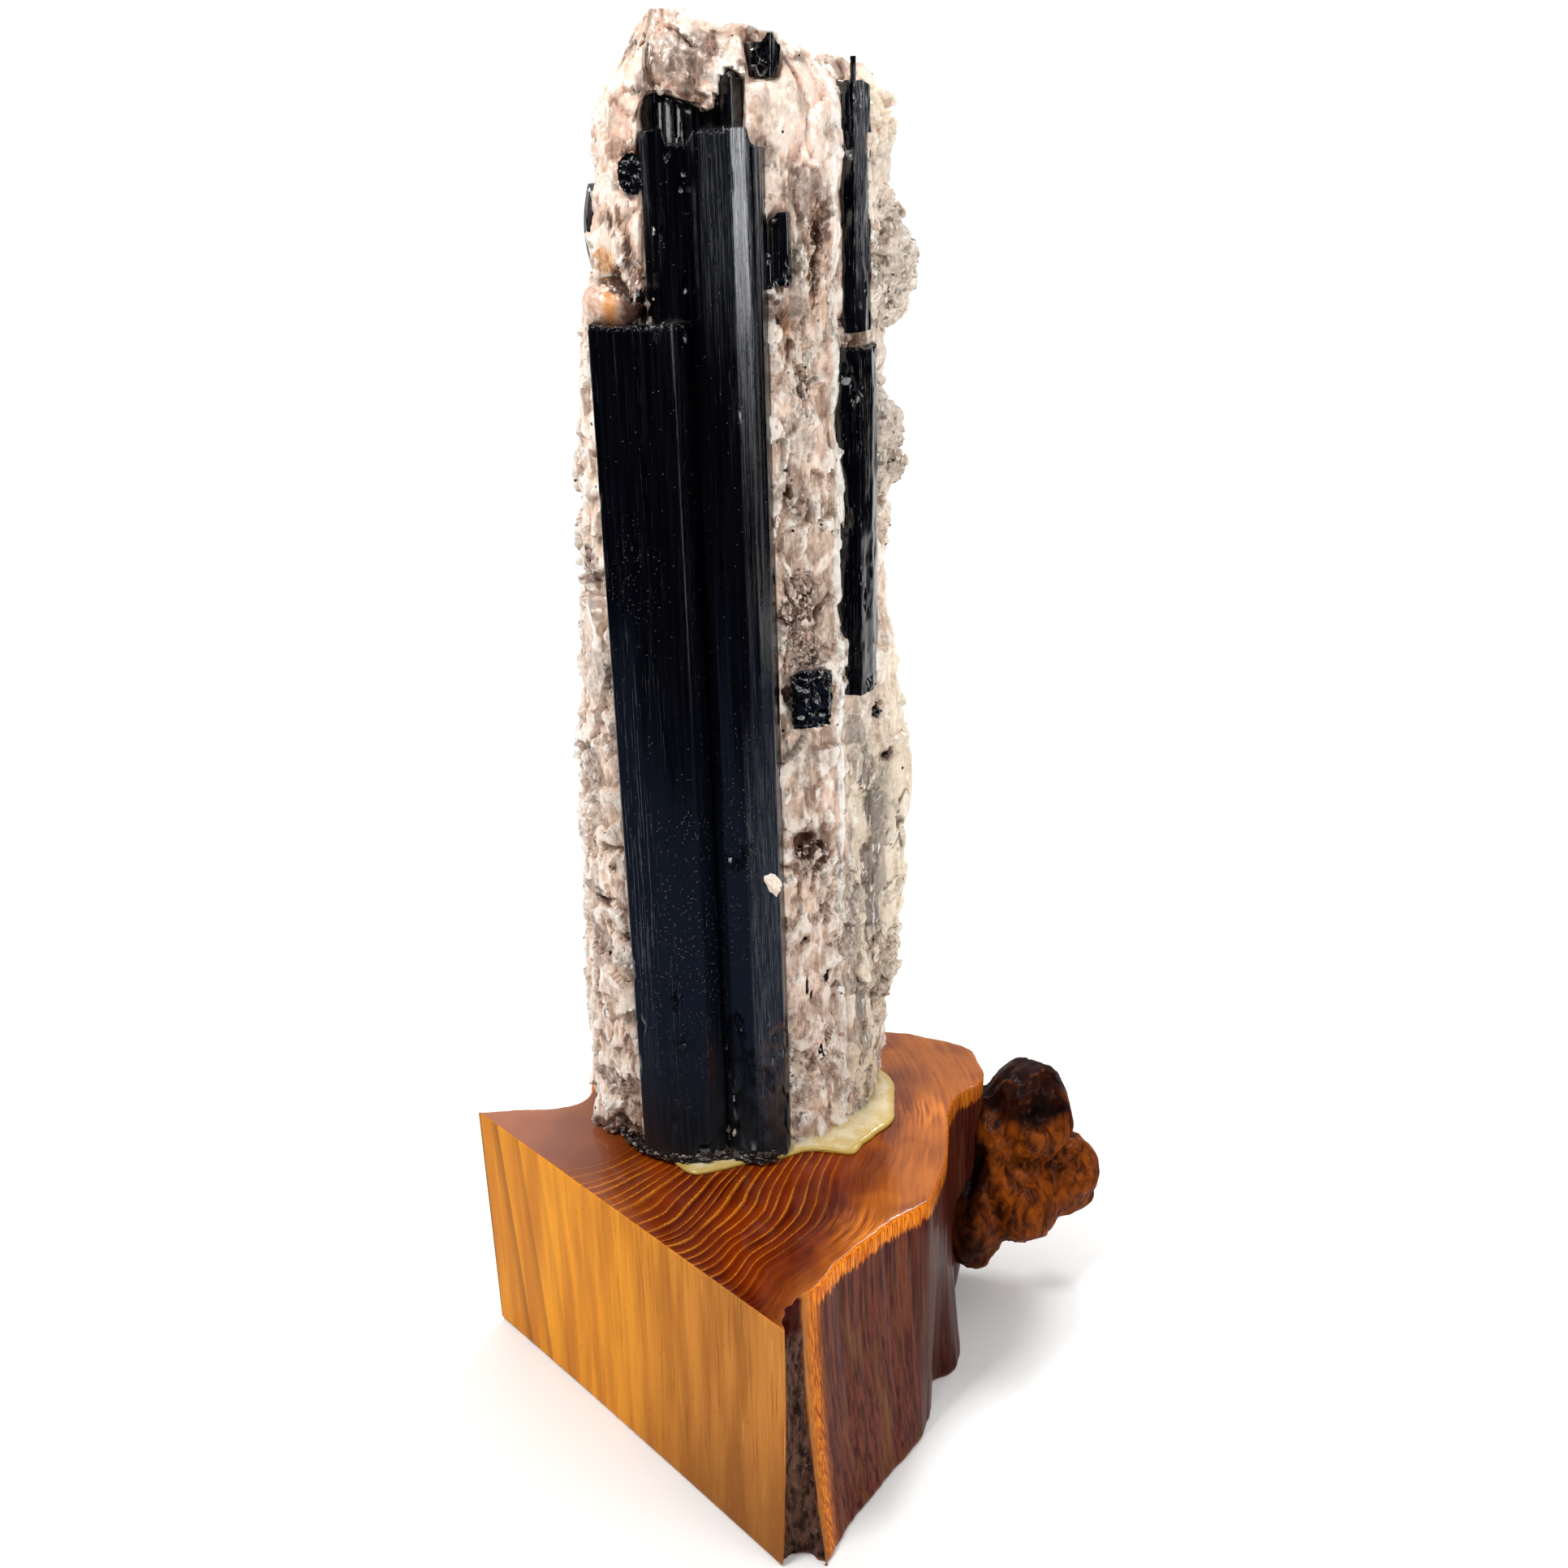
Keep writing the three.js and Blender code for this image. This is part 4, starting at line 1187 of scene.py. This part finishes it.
# The skin's cross-section from its edge inwards: inset and height above the wood.
GLUE_PROFILE = [
    (0.25, 0.02), (0, 0.25), (0.06, 0.55), (0.3, 0.8), (0.8, 0.98), (1.6, 1.08), (2.8, 1.12),
    (4.2, 1.18), (6, 1.25),
]
# How far the pool's edge is from its middle, roughly, and the highest that the glue may reach.
GLUE_REACH = 34
GLUE_CEILING = 67.4


def glue_skin():
    """The pool of glue as closed rows of points from its foot over its rim to its middle."""
    edge = spline(np.array(GLUE_EDGE, float), spots_of([16] * len(GLUE_EDGE)))
    wavy = 0.35 * layered(stacked(*edge.T, 0), 4, 901)
    edge = edge + outward(edge) * (wavy - 0.3)[:, None]
    rows, rim, middle = [], [], edge.mean(axis=0)
    for inset, height in GLUE_PROFILE:
        flat = middle + (edge - middle) * (1 - inset / GLUE_REACH)
        swell = 1 + 0.12 * noise(stacked(*flat.T, 0), 5, 902)
        rows.append(stacked(*flat.T, BLOCK_TOP + height * swell))
        rim.append(np.full((len(edge), 1), 1 - smooth(inset, 0.3, 3.2)))
    points, faces = skin(np.array(rows))
    points[:, 2] = np.minimum(points[:, 2], GLUE_CEILING)
    return added("glue_skin", points, faces, glue_material(), {"rim": np.concatenate(rim)})


def glue_material():
    """Cloudy cream, yellow at its rim."""
    s = Shader("cured_glue")
    rim = s.marks("rim")[0]
    cloud = s.noise(4, 4, 0.6).ramp(0.35, 0.65)
    colour = s.mix(rim * 0.8, s.mix(cloud, (234, 206, 142), (252, 238, 198)), (208, 170, 50))
    normal = s.bumps((s.noise(2.5, 2), 0.12))
    return s.surface(Base_Color=colour, Roughness=0.1, IOR=1.5, Transmission_Weight=0.35,
                     Normal=normal)


# ==== Wood ======================================================================================

# The slice's corners as x, y at the top and x, y at the foot, anticlockwise from the left end.
SLICE = np.array([
    (-68, -7, -68, -7.4), (-42, -34.7, -42.6, -34.8), (-16, -62.4, -17.6, -62.4),
    (9, -89, 6.8, -89.6), (9.8, -84.5, 9.4, -87), (11, -82, 13.6, -87.4), (13.4, -79, 17, -90.4),
    (23, -66, 26.5, -73), (33, -55.4, 37, -59.4), (43, -47, 43.6, -48.6), (47.6, -34, 45.6, -35.6),
    (49.4, -25, 52.4, -31), (51, -14, 54, -18), (54, -6, 54, -7), (61, 0, 55, 1), (62, 8, 56, 9),
    (60, 17, 54.6, 18), (49, 24, 47, 26), (39, 27, 38.6, 29.4), (22, 34, 21, 35.4),
    (2, 37, 1, 38), (-18, 35, -19, 36), (-32, 25, -34, 26), (-38.6, 11, -40.4, 12),
    (-41.6, -1.6, -44, -0.6), (-47, -5.2, -49, -4.4), (-57, -6, -58, -5.6),
])
SLICE_COLUMNS = (
    24, 24, 26, 8, 8, 8, 34, 34, 30, 32, 22, 26, 20, 18, 10, 8, 8, 8, 10, 12, 10, 10, 10, 10, 8, 8, 10,
)
SLICE_SHARP = (0, 1, 2, 3, 4, 5, 6)
# Between which spots along the corners the strip of bark and the live edge fade in and out.
BARK_SPOTS = (3.1, 3.5, 5.7, 6.05)
LIVE_SPOTS = (6, 6.25, 26.6, 26.95)
# How far under the top the upright rows end, above which the rim is rounded.
RIM_DROP = 2
# How much the saw cut goes to the right and to the front for each step along it.
SAW_WAY = (0.684, 0.729)
RING_CENTRE = (-45, -10)
RING_WIDTH = 2.3
# The small hollow at the top of the strip of bark: centre and radii.
KNOT_HOLE = (10, -85.5, 62.2, 2.2, 3, 2.4)


def slice_flat(height, spots):
    """The outline with each point at its own height."""
    top, foot = spline(SLICE.reshape(-1, 2, 2).swapaxes(0, 1), spots, SLICE_SHARP)
    flare = (1 - np.clip(height / BLOCK_TOP, 0, 1)) ** 2
    return top + (foot - top) * flare[:, None]


def slice_relief(points, run, spots, live, bark):
    """How far the slice's grown sides stand out, in ribs and hollows."""
    z = points[..., 2]
    lines = stacked(run + 0.00144 * (z - 30) ** 2, 0, z)
    depth = live * 0.45 * noise(lines, (6, 1, 60), 1101)
    depth += live * 0.16 * noise(lines, (2, 1, 38), 1102)
    depth += live * 0.08 * noise(lines, (0.9, 1, 22), 1103)
    depth += bark * (1.1 * layered(points, (1.8, 1.8, 3.6), 1104) - 0.7)
    depth -= 1.6 * patch(points, KNOT_HOLE, 1105)
    return depth - 0.6 * bell(spots, 6.05, 0.1)


def wood_loops():
    """Rows of points round the slice, with its rounded rims, and their marks."""
    spots = spots_of(SLICE_COLUMNS)
    level = np.ones(len(spots))
    run = run_of(slice_flat(BLOCK_TOP * level, spots))
    live, bark = span(spots, *LIVE_SPOTS), span(spots, *BARK_SPOTS)
    strip = bell(spots, 6.12, 0.16) * (spots > 5.8)
    rim = 0.4 + 0.5 * span(spots, 6, 6.6, 26.4, 26.9)
    rows = [(height * level, 0, 0) for height in np.linspace(0, BLOCK_TOP - RIM_DROP, 66)]
    for turn in np.linspace(0, math.pi / 2, 6):
        height = BLOCK_TOP - rim * (1 - math.sin(turn))
        rows.append((height, rim * (1 - math.cos(turn)), turn / (math.pi / 2)))
    loops, marks = [], []
    for height, inset, topness in rows:
        flat = slice_flat(height, spots)
        points = stacked(*flat.T, height)
        foot_round = 0.5 * (1 - smooth(height, 0, 1))
        depth = slice_relief(points, run, spots, live, bark) - inset - foot_round
        points[:, :2] += outward(flat) * depth[:, None]
        loops.append(points)
        side = 1 - smooth(topness, 0.55, 1)
        marks.append(side * stacked((1 - live) * (1 - bark), live, bark, strip))
    return np.array(loops), np.array(marks)


def end_face(rim, pitch):
    """The flat face inside a rim of the slice as a sheet: points and triangles."""
    edge = rim[:, :2]
    low, high = edge.min(axis=0), edge.max(axis=0)
    xs, ys = np.arange(low[0], high[0], pitch), np.arange(low[1], high[1], pitch)
    grid = np.array([(x, y) for x in xs for y in ys])
    near = np.array([np.min(np.hypot(*(edge - spot).T)) for spot in grid])
    flat = [Vector(p) for p in np.concatenate([edge, grid[near > 0.6 * pitch]]).tolist()]
    border = [[n, (n + 1) % len(rim)] for n in range(len(rim))]
    corners, _, triangles, *_ = delaunay_2d_cdt(flat, border, [], 1, 1e-6)
    return np.array([(*corner, rim[0, 2]) for corner in corners]), [list(t) for t in triangles]


def wood_slice():
    """The wedge of wood: its sides with their rims, closed by a top and a foot."""
    loops, marks = wood_loops()
    top, foot = end_face(loops[-1], 2), end_face(loops[0], 12)
    points, faces = joined([(loops.reshape(-1, 3), join_loops(loops)), top, foot])
    zones = np.zeros((len(points), 4))
    zones[: loops[..., 0].size] = marks.reshape(-1, 4)
    points[:, 1] = np.clip(points[:, 1], SLICE_FRONT, wood_high.y / MM - ROW_SHIFT[1])
    piece = added("wood_slice", points, faces, wood_material(),
                  {"zones": zones[:, :3], "strip": zones[:, 3:]}, crease=60)
    merge = bmesh.new()
    merge.from_mesh(piece.data)
    bmesh.ops.remove_doubles(merge, verts=merge.verts, dist=2e-6)
    bmesh.ops.recalc_face_normals(merge, faces=merge.faces)
    merge.to_mesh(piece.data)
    merge.free()
    return piece


def on_saw_face(x, y):
    """How far along the saw cut from its left end a place is, and how far inwards of it."""
    x, y = x - SLICE[0, 0], y - SLICE[0, 1]
    rightwards, frontwards = SAW_WAY
    return x * rightwards - y * frontwards, x * frontwards + y * rightwards


def ring_lines(s, x, y, inwards):
    """The growth rings on the top: distance from their centre, the pale lines, and their share."""
    dx, dy = x - RING_CENTRE[0], y - RING_CENTRE[1]
    radius = s.math("SQRT", dx * dx + dy * dy)
    bend = inwards.ramp(0, 13, -5, 0) * x.ramp(-24, 2)
    wander = (s.noise(16, 2) - 0.5) * 2
    ring = radius + bend + (y.ramp(-58, -34, 0, 5) + wander)
    # Rings are not evenly spaced, and the pale pores end in a fine uneven edge.
    uneven = (s.noise(5, 1, place=s.node("CombineXYZ", {"X": ring})) - 0.5) * 4
    turn = s.math("FRACT", s.math("DIVIDE", ring + uneven, RING_WIDTH))
    saw_tooth = turn + s.noise((0.35, 9), 2, shift=3) * 0.26
    line = saw_tooth.ramp(0.12, 0.17) * saw_tooth.ramp(0.17, 0.42, 1, 0)
    pores = s.noise((0.3, 6), 2, shift=13).ramp(0.35, 0.6, 0.3, 1)
    strength = s.noise((9, 30), 2, shift=18).ramp(0.3, 0.6, 0.35, 0.9)
    reach = ring.ramp(24, 34) * ring.ramp(70, 80, 1, 0)
    return ring, turn, line * pores * strength * reach, reach


def top_colour(s, x, y, inwards):
    """The polished end grain: deep red brown with pale rings, golden in patches and at the rear."""
    ring, turn, line, reach = ring_lines(s, x, y, inwards)
    cloud = s.noise((15, 30), 2, 0.4, warp=0.3).ramp(0.3, 0.7)
    spread = s.node("CombineXYZ", {"X": ring, "Y": y * 0.08})
    grain = s.noise((1.1, 1), 4, 0.6, place=spread).ramp(0.35, 0.7) * ring.ramp(24, 40)
    shades = cloud * 0.6 + grain * 0.4
    golden = s.math("MAXIMUM", x.ramp(-46, -14, 0.8, 0), (ring + cloud * 5).ramp(78, 100))
    # Painted highlight: golden glints near the front of the live edge and right of the stone.
    spots = [((27, -57, BLOCK_TOP), 11), ((47, -12, BLOCK_TOP), 12)]
    away = [s.vector("DISTANCE", s.place, spot, output="Value") for spot, _ in spots]
    glow = [far.ramp(0, size, 0.8, 0) * grain for far, (_, size) in zip(away, spots)]
    colour = s.coats(
        s.mix(shades, (60, 8, 1), (124, 40, 3)),
        (golden, s.mix(shades, (122, 54, 8), (180, 100, 24))),
        (glow[0], (226, 130, 44)),
        (glow[1], (226, 130, 44)),
        (turn.ramp(0.3, 1, 0, 0.4) * reach, (146, 60, 10)),
        # Painted reflection: a mauve sheen at the left, as if mirroring the room.
        (x.ramp(-52, -26, 0.5, 0) * y.ramp(-50, -20), (150, 106, 92)),
        (line, (226, 138, 36)),
    )
    return colour, line


# Slanting shades on the saw face: distance from its left end, width, and strength.
SAW_SHADES = [(14.5, 4, 0.75), (23.5, 3.2, 0.55), (32, 3, 0.25)]


def saw_colour(s, x, z, run):
    """The sawn long grain: golden, crossed at the left by slanting shades, duller at the right."""
    broad = s.noise((7, 70), 3, shift=6).ramp(0.35, 0.65)
    dull = s.mix(broad, (162, 98, 36), (196, 126, 54))
    lean = run + z * 0.1
    shades = [
        lean.ramp(place - width, place, 0, share) * lean.ramp(place, place + 0.8, 1, 0)
        for place, width, share in SAW_SHADES
    ]
    streak = s.noise((0.9, 40), 5, 0.7).ramp(0.52, 0.72, 0, 0.8)
    pale = s.noise((0.5, 24), 3, 0.6, shift=22).ramp(0.6, 0.72)
    specks = s.grains((3.4, 5), 8)[0].ramp(0.05, 0.08, 1, 0)
    low = z.ramp(0, 45, 1, 0) * x.ramp(-40, 0)
    return s.coats(
        s.mix(broad, (206, 126, 36), (240, 158, 40)),
        (run.ramp(40, 100), dull),
        *[(shade, (150, 88, 30)) for shade in shades],
        (streak * run.ramp(20, 85, 0.3, 1), (138, 76, 24)),
        (pale * run.ramp(60, 90, 0, 0.6), (226, 168, 92)),
        (specks * 0.5, (110, 68, 24)),
        (low * 0.6, (128, 76, 30)),
        (run.ramp(0, 1.2, 0.8, 0), (96, 66, 48)),
    )


def grown_colour(s, x, z):
    """The live side: mauve brown, dark in its lines, with an orange hem along the top."""
    rib = s.noise((1, 34), 4, 0.65, shift=8).ramp(0.36, 0.62)
    fine = s.noise((0.35, 14), 2, 0.6, shift=28).ramp(0.55, 0.66, 0, 0.6)
    patchy = s.noise((6, 34), 4, 0.6, shift=2).ramp(0.45, 0.7, 0, 0.6)
    jag = s.noise((0.7, 12), 3, 0.6, shift=5) * 7
    hem = (z + jag).ramp(BLOCK_TOP - 1.6, BLOCK_TOP - 0.4) * x.ramp(40, 46, 0.95, 0.45)
    fibre = s.noise((0.4, 6), 3, 0.6, shift=24)
    orange = s.mix(fibre.ramp(0.35, 0.65), (176, 70, 8), (250, 150, 34))
    return s.coats(
        s.mix(rib, (54, 13, 7), (106, 50, 34)),
        (fine, (60, 18, 12)),
        (patchy, (122, 80, 42)),
        (x.ramp(37, 44, 0, 0.6), (48, 14, 12)),
        (hem, orange),
        (s.marks("strip")[0] * fibre.ramp(0.3, 0.55, 0.5, 1), orange),
    )


def wood_material():
    """Polished end grain above, sawn and grown sides and bark, under a varnish."""
    s = Shader("varnished_wood")
    saw, live, bark = s.marks("zones")
    x, y, z = s.split(s.place, "XYZ")
    run, inwards = on_saw_face(x, y)
    top, line = top_colour(s, x, y, inwards)
    crust = s.coats(
        s.mix(s.noise((1.4, 4), 4).ramp(0.3, 0.7), (26, 12, 9), (98, 68, 56)),
        (s.noise((1, 1.6), 4, 0.7, shift=26).ramp(0.56, 0.66) * 0.35, (150, 116, 92)),
        (z.ramp(56, 60), (58, 14, 6)),
    )
    sides = (saw, saw_colour(s, x, z, run)), (live, grown_colour(s, x, z)), (bark, crust)
    normal = s.bumps((s.noise((0.35, 9), 3, shift=1), 0.05), (line, 0.05))
    varnish = s.coats((0.6,) * 4, (saw, (0.02,) * 4), (live, (0.12,) * 4), (bark, (0.05,) * 4))
    return s.surface(
        Base_Color=s.coats(top, *sides), Roughness=bark.ramp(0, 1, 0.3, 0.7), Normal=normal,
        Specular_IOR_Level=0.02, Coat_Weight=s.split(varnish)[0], Coat_Roughness=0.08)


# Each lobe of the burl, and where it folds in or stands out: centre, radii and how far.
BURL_LOBES = [
    (74, 7, 51, 12.5, 14, 15.5), (84.6, 8, 31, 10.6, 13, 11.6), (71, 5, 29, 14, 17, 15),
    (60, 3, 25, 11, 14, 19), (64, 6, 46, 9, 13, 14),
]
BURL_FOLDS = [
    (76, -8, 58, 6, 9, 5.5, -4), (57.5, -9, 43, 4, 10, 13, -4), (76, -11, 41, 8, 8, 5, -1.6),
    (87, -5, 28, 6, 9, 6, -1.4), (66, -10, 50, 8, 8, 2.6, -2), (72, -9, 51, 13, 9, 2.4, 1.4),
    (85, -3, 56, 2.6, 9, 9, 1.4), (74, -4, 68, 11, 10, 2.6, 1), (67, -10, 15, 8, 9, 4, -2),
    (60, -10, 30, 3, 8, 7, 1.4), (84, -2, 16, 7, 9, 3, -1.6),
]
# The lobes are made a little small, as they grow again when they are made into one.
LOBE_SHARE = 0.97
BURL_VOXEL = 0.75
# How far the burl keeps inside its solid, and over the table.
BURL_MARGIN = 0.05
BURL_FOOT = 1


def made_whole(piece):
    """Joins a piece's overlapping lumps into one skin: its mesh, and its points and normals."""
    remesh = piece.modifiers.new("whole", "REMESH")
    remesh.mode = "VOXEL"
    remesh.voxel_size = BURL_VOXEL * MM
    bpy.context.view_layer.update()
    seen = piece.evaluated_get(bpy.context.evaluated_depsgraph_get())
    whole = bpy.data.meshes.new_from_object(seen)
    piece.modifiers.clear()
    piece.data = whole
    result = []
    for title in ("co", "normal"):
        values = np.zeros(len(whole.vertices) * 3)
        whole.vertices.foreach_get(title, values)
        result.append(values.reshape(-1, 3))
    return whole, result[0] / MM - ROW_SHIFT, result[1]


def burl():
    """The gnarled stub at the slice's right rear."""
    points, faces = ball(5)
    lobes = np.array(BURL_LOBES)
    lumps = [(points * row[3:] * LOBE_SHARE + row[:3], faces) for row in lobes]
    piece = added("burl_stub", *joined(lumps), burl_material())
    whole, points, normals = made_whole(piece)
    bent = swayed(points, 9, 1201, 2.5)
    rear = 1 + 1.4 * smooth(points[:, 1], 0, 9)
    depth = rear * (0.9 * noise(bent, (9, 9, 13), 1204) + 0.45 * noise(bent, (4, 4, 7), 1205)) - 0.6
    folded = sum(row[6] * np.exp(-1.2 * reach_of(bent, row[:6]) ** 2) for row in BURL_FOLDS)
    wrinkle = noise(bent, (1.3, 1.3, 4), 1206) + 0.6 * noise(bent, (0.8, 0.8, 1.8), 1207)
    depth += folded + 0.35 * wrinkle
    low, high = (np.array(corner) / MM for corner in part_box("burl_knob"))
    points = points + normals * depth[:, None] + ROW_SHIFT
    points = np.clip(points, low + BURL_MARGIN, high - BURL_MARGIN)
    points[:, 2] = np.maximum(points[:, 2], BURL_FOOT)
    whole.vertices.foreach_set("co", (points * MM).ravel())
    # The folds also colour it: painted shade where they fold in, golden, partly painted highlight, where
    # they stand out.
    marked(whole, "folds", 0.5 + 0.15 * folded[:, None])
    whole.polygons.foreach_set("use_smooth", [True] * len(whole.polygons))
    whole.update()
    return piece


def burl_material():
    """Dark red brown above, painted shade in folds, golden with painted highlights where it stands out."""
    s = Shader("burl_wood")
    x, _, z = s.split(s.place, "XYZ")
    grain = s.noise((3, 6), 5, 0.62, warp=0.6).ramp(0.3, 0.72)
    gold = s.mix(grain, (48, 14, 2), (142, 68, 12))
    cloud = (s.noise(8, 3, 0.6) - 0.5) * 14
    above = (z + cloud).ramp(52, 58)
    behind = (x + cloud).ramp(58, 66, 0.8, 0)
    folded = s.marks("folds")[0]
    sharp = s.pointiness()
    colour = s.coats(
        gold,
        (s.math("MAXIMUM", above, behind), s.mix(grain, (13, 2, 1), (46, 14, 5))),
        # Golden on folds that stand out, partly a painted highlight; painted shade in folds that go in.
        (folded.ramp(0.52, 0.6, 0, 0.9), gold),
        (folded.ramp(0.15, 0.42, 0.9, 0), (12, 3, 1)),
        # Painted highlight on sharp ridges and painted shade in creases.
        (sharp.ramp(0.52, 0.58, 0, 0.4), (190, 104, 28)),
        (sharp.ramp(0.42, 0.49, 0.8, 0), (18, 5, 2)),
    )
    normal = s.bumps(
        (s.noise((0.8, 3.4), 4, 0.6, warp=0.5), 0.3), (s.noise(0.5, 3, 0.7), 0.1))
    return s.surface(Base_Color=colour, Roughness=0.6, Normal=normal, Specular_IOR_Level=0.03,
                     Coat_Weight=0.05, Coat_Roughness=0.2)


# ==== Stage =====================================================================================

CAMERA_SPOT = (12, -345, 295)
CAMERA_PITCH = math.radians(22.6)
CAMERA_ROLL = math.radians(1.53)
CAMERA_LENS = 36.056
CAMERA_SENSOR = 36
CAMERA_NEAR = 0.01
SKY_STRENGTH = 1.05

# Soft lamps: where each one is, what it faces, its width and height, and its power.
LAMPS = {
    "overhead": ((-260, -260, 720), (0, -20, 170), (150, 150), 3.4),
    "right_window": ((460, -345, 365), (10, -30, 270), (300, 330), 1.6),
    "back_light": ((160, 380, 620), (0, 0, 200), (150, 150), 1.8),
}

BLACK, NEAR_BLACK, WHITE = (0, 0, 0, 1), (0.004, 0.004, 0.006, 1), (1, 1, 1, 1)
SHEEN = (0.06, 0.09, 0.17, 1)
# Upright cards: from where to where in plan, and how high each one's foot is.
WALL_TOP = 640
DARK_WALLS = {
    "dark_card": ((-900, -400), (800, -400), 0),
    "right_card": ((700, -200), (700, 600), 0),
    "left_card": ((-600, 200), (-600, -400), 0),
}
BRIGHT_WALL = ((-420, -385), (420, -385), 430)
# Lying cards: their corners in plan and their height.
BLUE_CARD = [(-600, -400), (600, -400), (600, 80), (115, 80), (115, -120), (-70, -120), (-90, -30),
             (-600, -30)]
BLUE_HEIGHT = 0.5
FOOT_CARD = [(-40, -110), (24, -110), (24, -34.2), (-40, -34.2)]
FOOT_HEIGHT = 67.3
FLOOR_HALF = 3000


def camera():
    """The camera that the photo was taken with, as far as the wedge's edges tell."""
    data = bpy.data.cameras.new("camera")
    data.lens, data.sensor_width, data.clip_start = CAMERA_LENS, CAMERA_SENSOR, CAMERA_NEAR
    turned, held = math.sin(CAMERA_ROLL), math.cos(CAMERA_ROLL)
    down, ahead = math.sin(CAMERA_PITCH), math.cos(CAMERA_PITCH)
    right = (held, -turned * down, -turned * ahead)
    up = (turned, held * down, held * ahead)
    matrix = Matrix((right, up, (0, -ahead, down))).transposed().to_4x4()
    matrix.translation = Vector(placed(CAMERA_SPOT))
    thing = shown("camera", data)
    thing.matrix_world = matrix
    bpy.context.scene.camera = thing


def lamp(name, spot, target, size, power):
    """A soft lamp that the camera does not see."""
    data = bpy.data.lights.new(name, "AREA")
    data.shape = "RECTANGLE"
    data.size, data.size_y = size[0] * MM, size[1] * MM
    data.energy = power
    thing = shown(name, data)
    thing.location = Vector(placed(spot))
    aim = Vector(placed(target)) - thing.location
    thing.rotation_euler = aim.to_track_quat("-Z", "Y").to_euler()
    thing.visible_camera = False


def surroundings():
    """White behind for the camera; for light, bright above, behind and at the sides, dimmer in front."""
    world = bpy.data.worlds.new("studio")
    bpy.context.scene.world = world
    s = Nodes(world)
    x, y, z = s.split(s.node("TexCoord", output="Generated"), "XYZ")
    # A direction's brightness rises from the camera's side round to the back, and upwards.
    aside = s.math("MAXIMUM", x, x * -0.5)
    lift = s.math("MULTIPLY_ADD", z, 0.75, s.math("MULTIPLY_ADD", aside, -0.55, y))
    glow = lift.ramp(-0.55, 0.6, 0.02, SKY_STRENGTH)
    lit = s.node("Background", {"Color": WHITE, "Strength": glow})
    seen = s.node("Background", {"Color": WHITE, "Strength": SKY_STRENGTH})
    rays = s.node("LightPath", output="Is Camera Ray")
    s.node("OutputWorld", {"Surface": s.node("MixShader", {0: rays, 1: lit, 2: seen})})


def sheet(name, corners, material):
    """A flat sheet of the stage, corners in millimetres."""
    mesh = bpy.data.meshes.new(name)
    mesh.from_pydata(placed(corners).tolist(), [], [range(len(corners))])
    mesh.materials.append(material)
    thing = shown(name, mesh)
    return thing


def card(name, corners, material):
    """A sheet that only shows in what is glossy."""
    thing = sheet(name, corners, material)
    thing.visible_camera = False
    thing.visible_diffuse = False
    thing.visible_shadow = False


def wall(name, start, end, foot, material):
    """An upright card."""
    corners = [(*start, foot), (*end, foot), (*end, WALL_TOP), (*start, WALL_TOP)]
    card(name, corners, material)


def card_shader(name, colour=BLACK, glow=BLACK, strength=0):
    """The look of a card, which has no gloss of its own."""
    s = Shader(name)
    s.surface(Base_Color=colour, Roughness=1, Specular_IOR_Level=0, Emission_Color=glow,
              Emission_Strength=strength)
    return s


def cards():
    """Dark walls, a bright one over the camera, and two cards that are blue from above."""
    dark = card_shader("dark_card", NEAR_BLACK).material
    for name, row in DARK_WALLS.items():
        wall(name, *row, dark)
    wall("bright_card", *BRIGHT_WALL, card_shader("bright_card", glow=WHITE, strength=5).material)
    blue = card_shader("blue_card", glow=SHEEN, strength=1).material
    card("blue_card", [(*corner, BLUE_HEIGHT) for corner in BLUE_CARD], blue)
    s = card_shader("foot_card", glow=SHEEN)
    glow = s.split(s.place, "XYZ")[1].ramp(-62, -46, 1, 0.02)
    s.surface(Emission_Strength=glow, Alpha=1 - s.node("NewGeometry", output="Backfacing"))
    card("foot_card", [(*corner, FOOT_HEIGHT) for corner in FOOT_CARD], s.material)


def floor():
    """The pale table, which glows a little more with distance."""
    s = Shader("floor_white")
    glow = s.vector("LENGTH", s.place, output="Value").ramp(150, 500, 0.03, 0.5)
    look = s.surface(Base_Color=(0.88, 0.88, 0.87, 1), Roughness=0.6, Specular_IOR_Level=0.2,
                     Emission_Color=WHITE, Emission_Strength=glow)
    corners = [(-1, -1, 0), (1, -1, 0), (1, 1, 0), (-1, 1, 0)]
    sheet("floor", np.array(corners) * FLOOR_HALF, look)


def stage():
    """All that is not the specimen: camera, surroundings, floor, cards and lamps."""
    camera()
    surroundings()
    floor()
    cards()
    for name, row in LAMPS.items():
        lamp(name, *row)
    bpy.context.scene.view_settings.view_transform = "Standard"


# ==== The specimen ==============================================================================


def build():
    """Every piece, and the nodes that it stands for."""
    rock, rock_points, crumbly = host_rock()
    finished(rock, "matrix", "matrix")
    finished(chips(rock_points, crumbly), "matrix")
    black = tourmaline_material()
    finished(main_crystals(black), "tourmaline", "main_tourmaline")
    for number, (name, shape) in enumerate(SINGLE_CRYSTALS.items()):
        points, faces, ends = crystal_skin(shape, 2000 + 50 * number)
        piece = crystal_piece(f"{name}_fine", points, faces, ends, black)
        finished(piece, "tourmaline", name)
    finished(end_on_crystal(black), "tourmaline", "round_crystal")
    finished(glue_skin(), "glue", "glue_bed")
    finished(wood_slice(), "wood", "wood_base")
    finished(burl(), "burl", "burl_knob")


stage()
build()
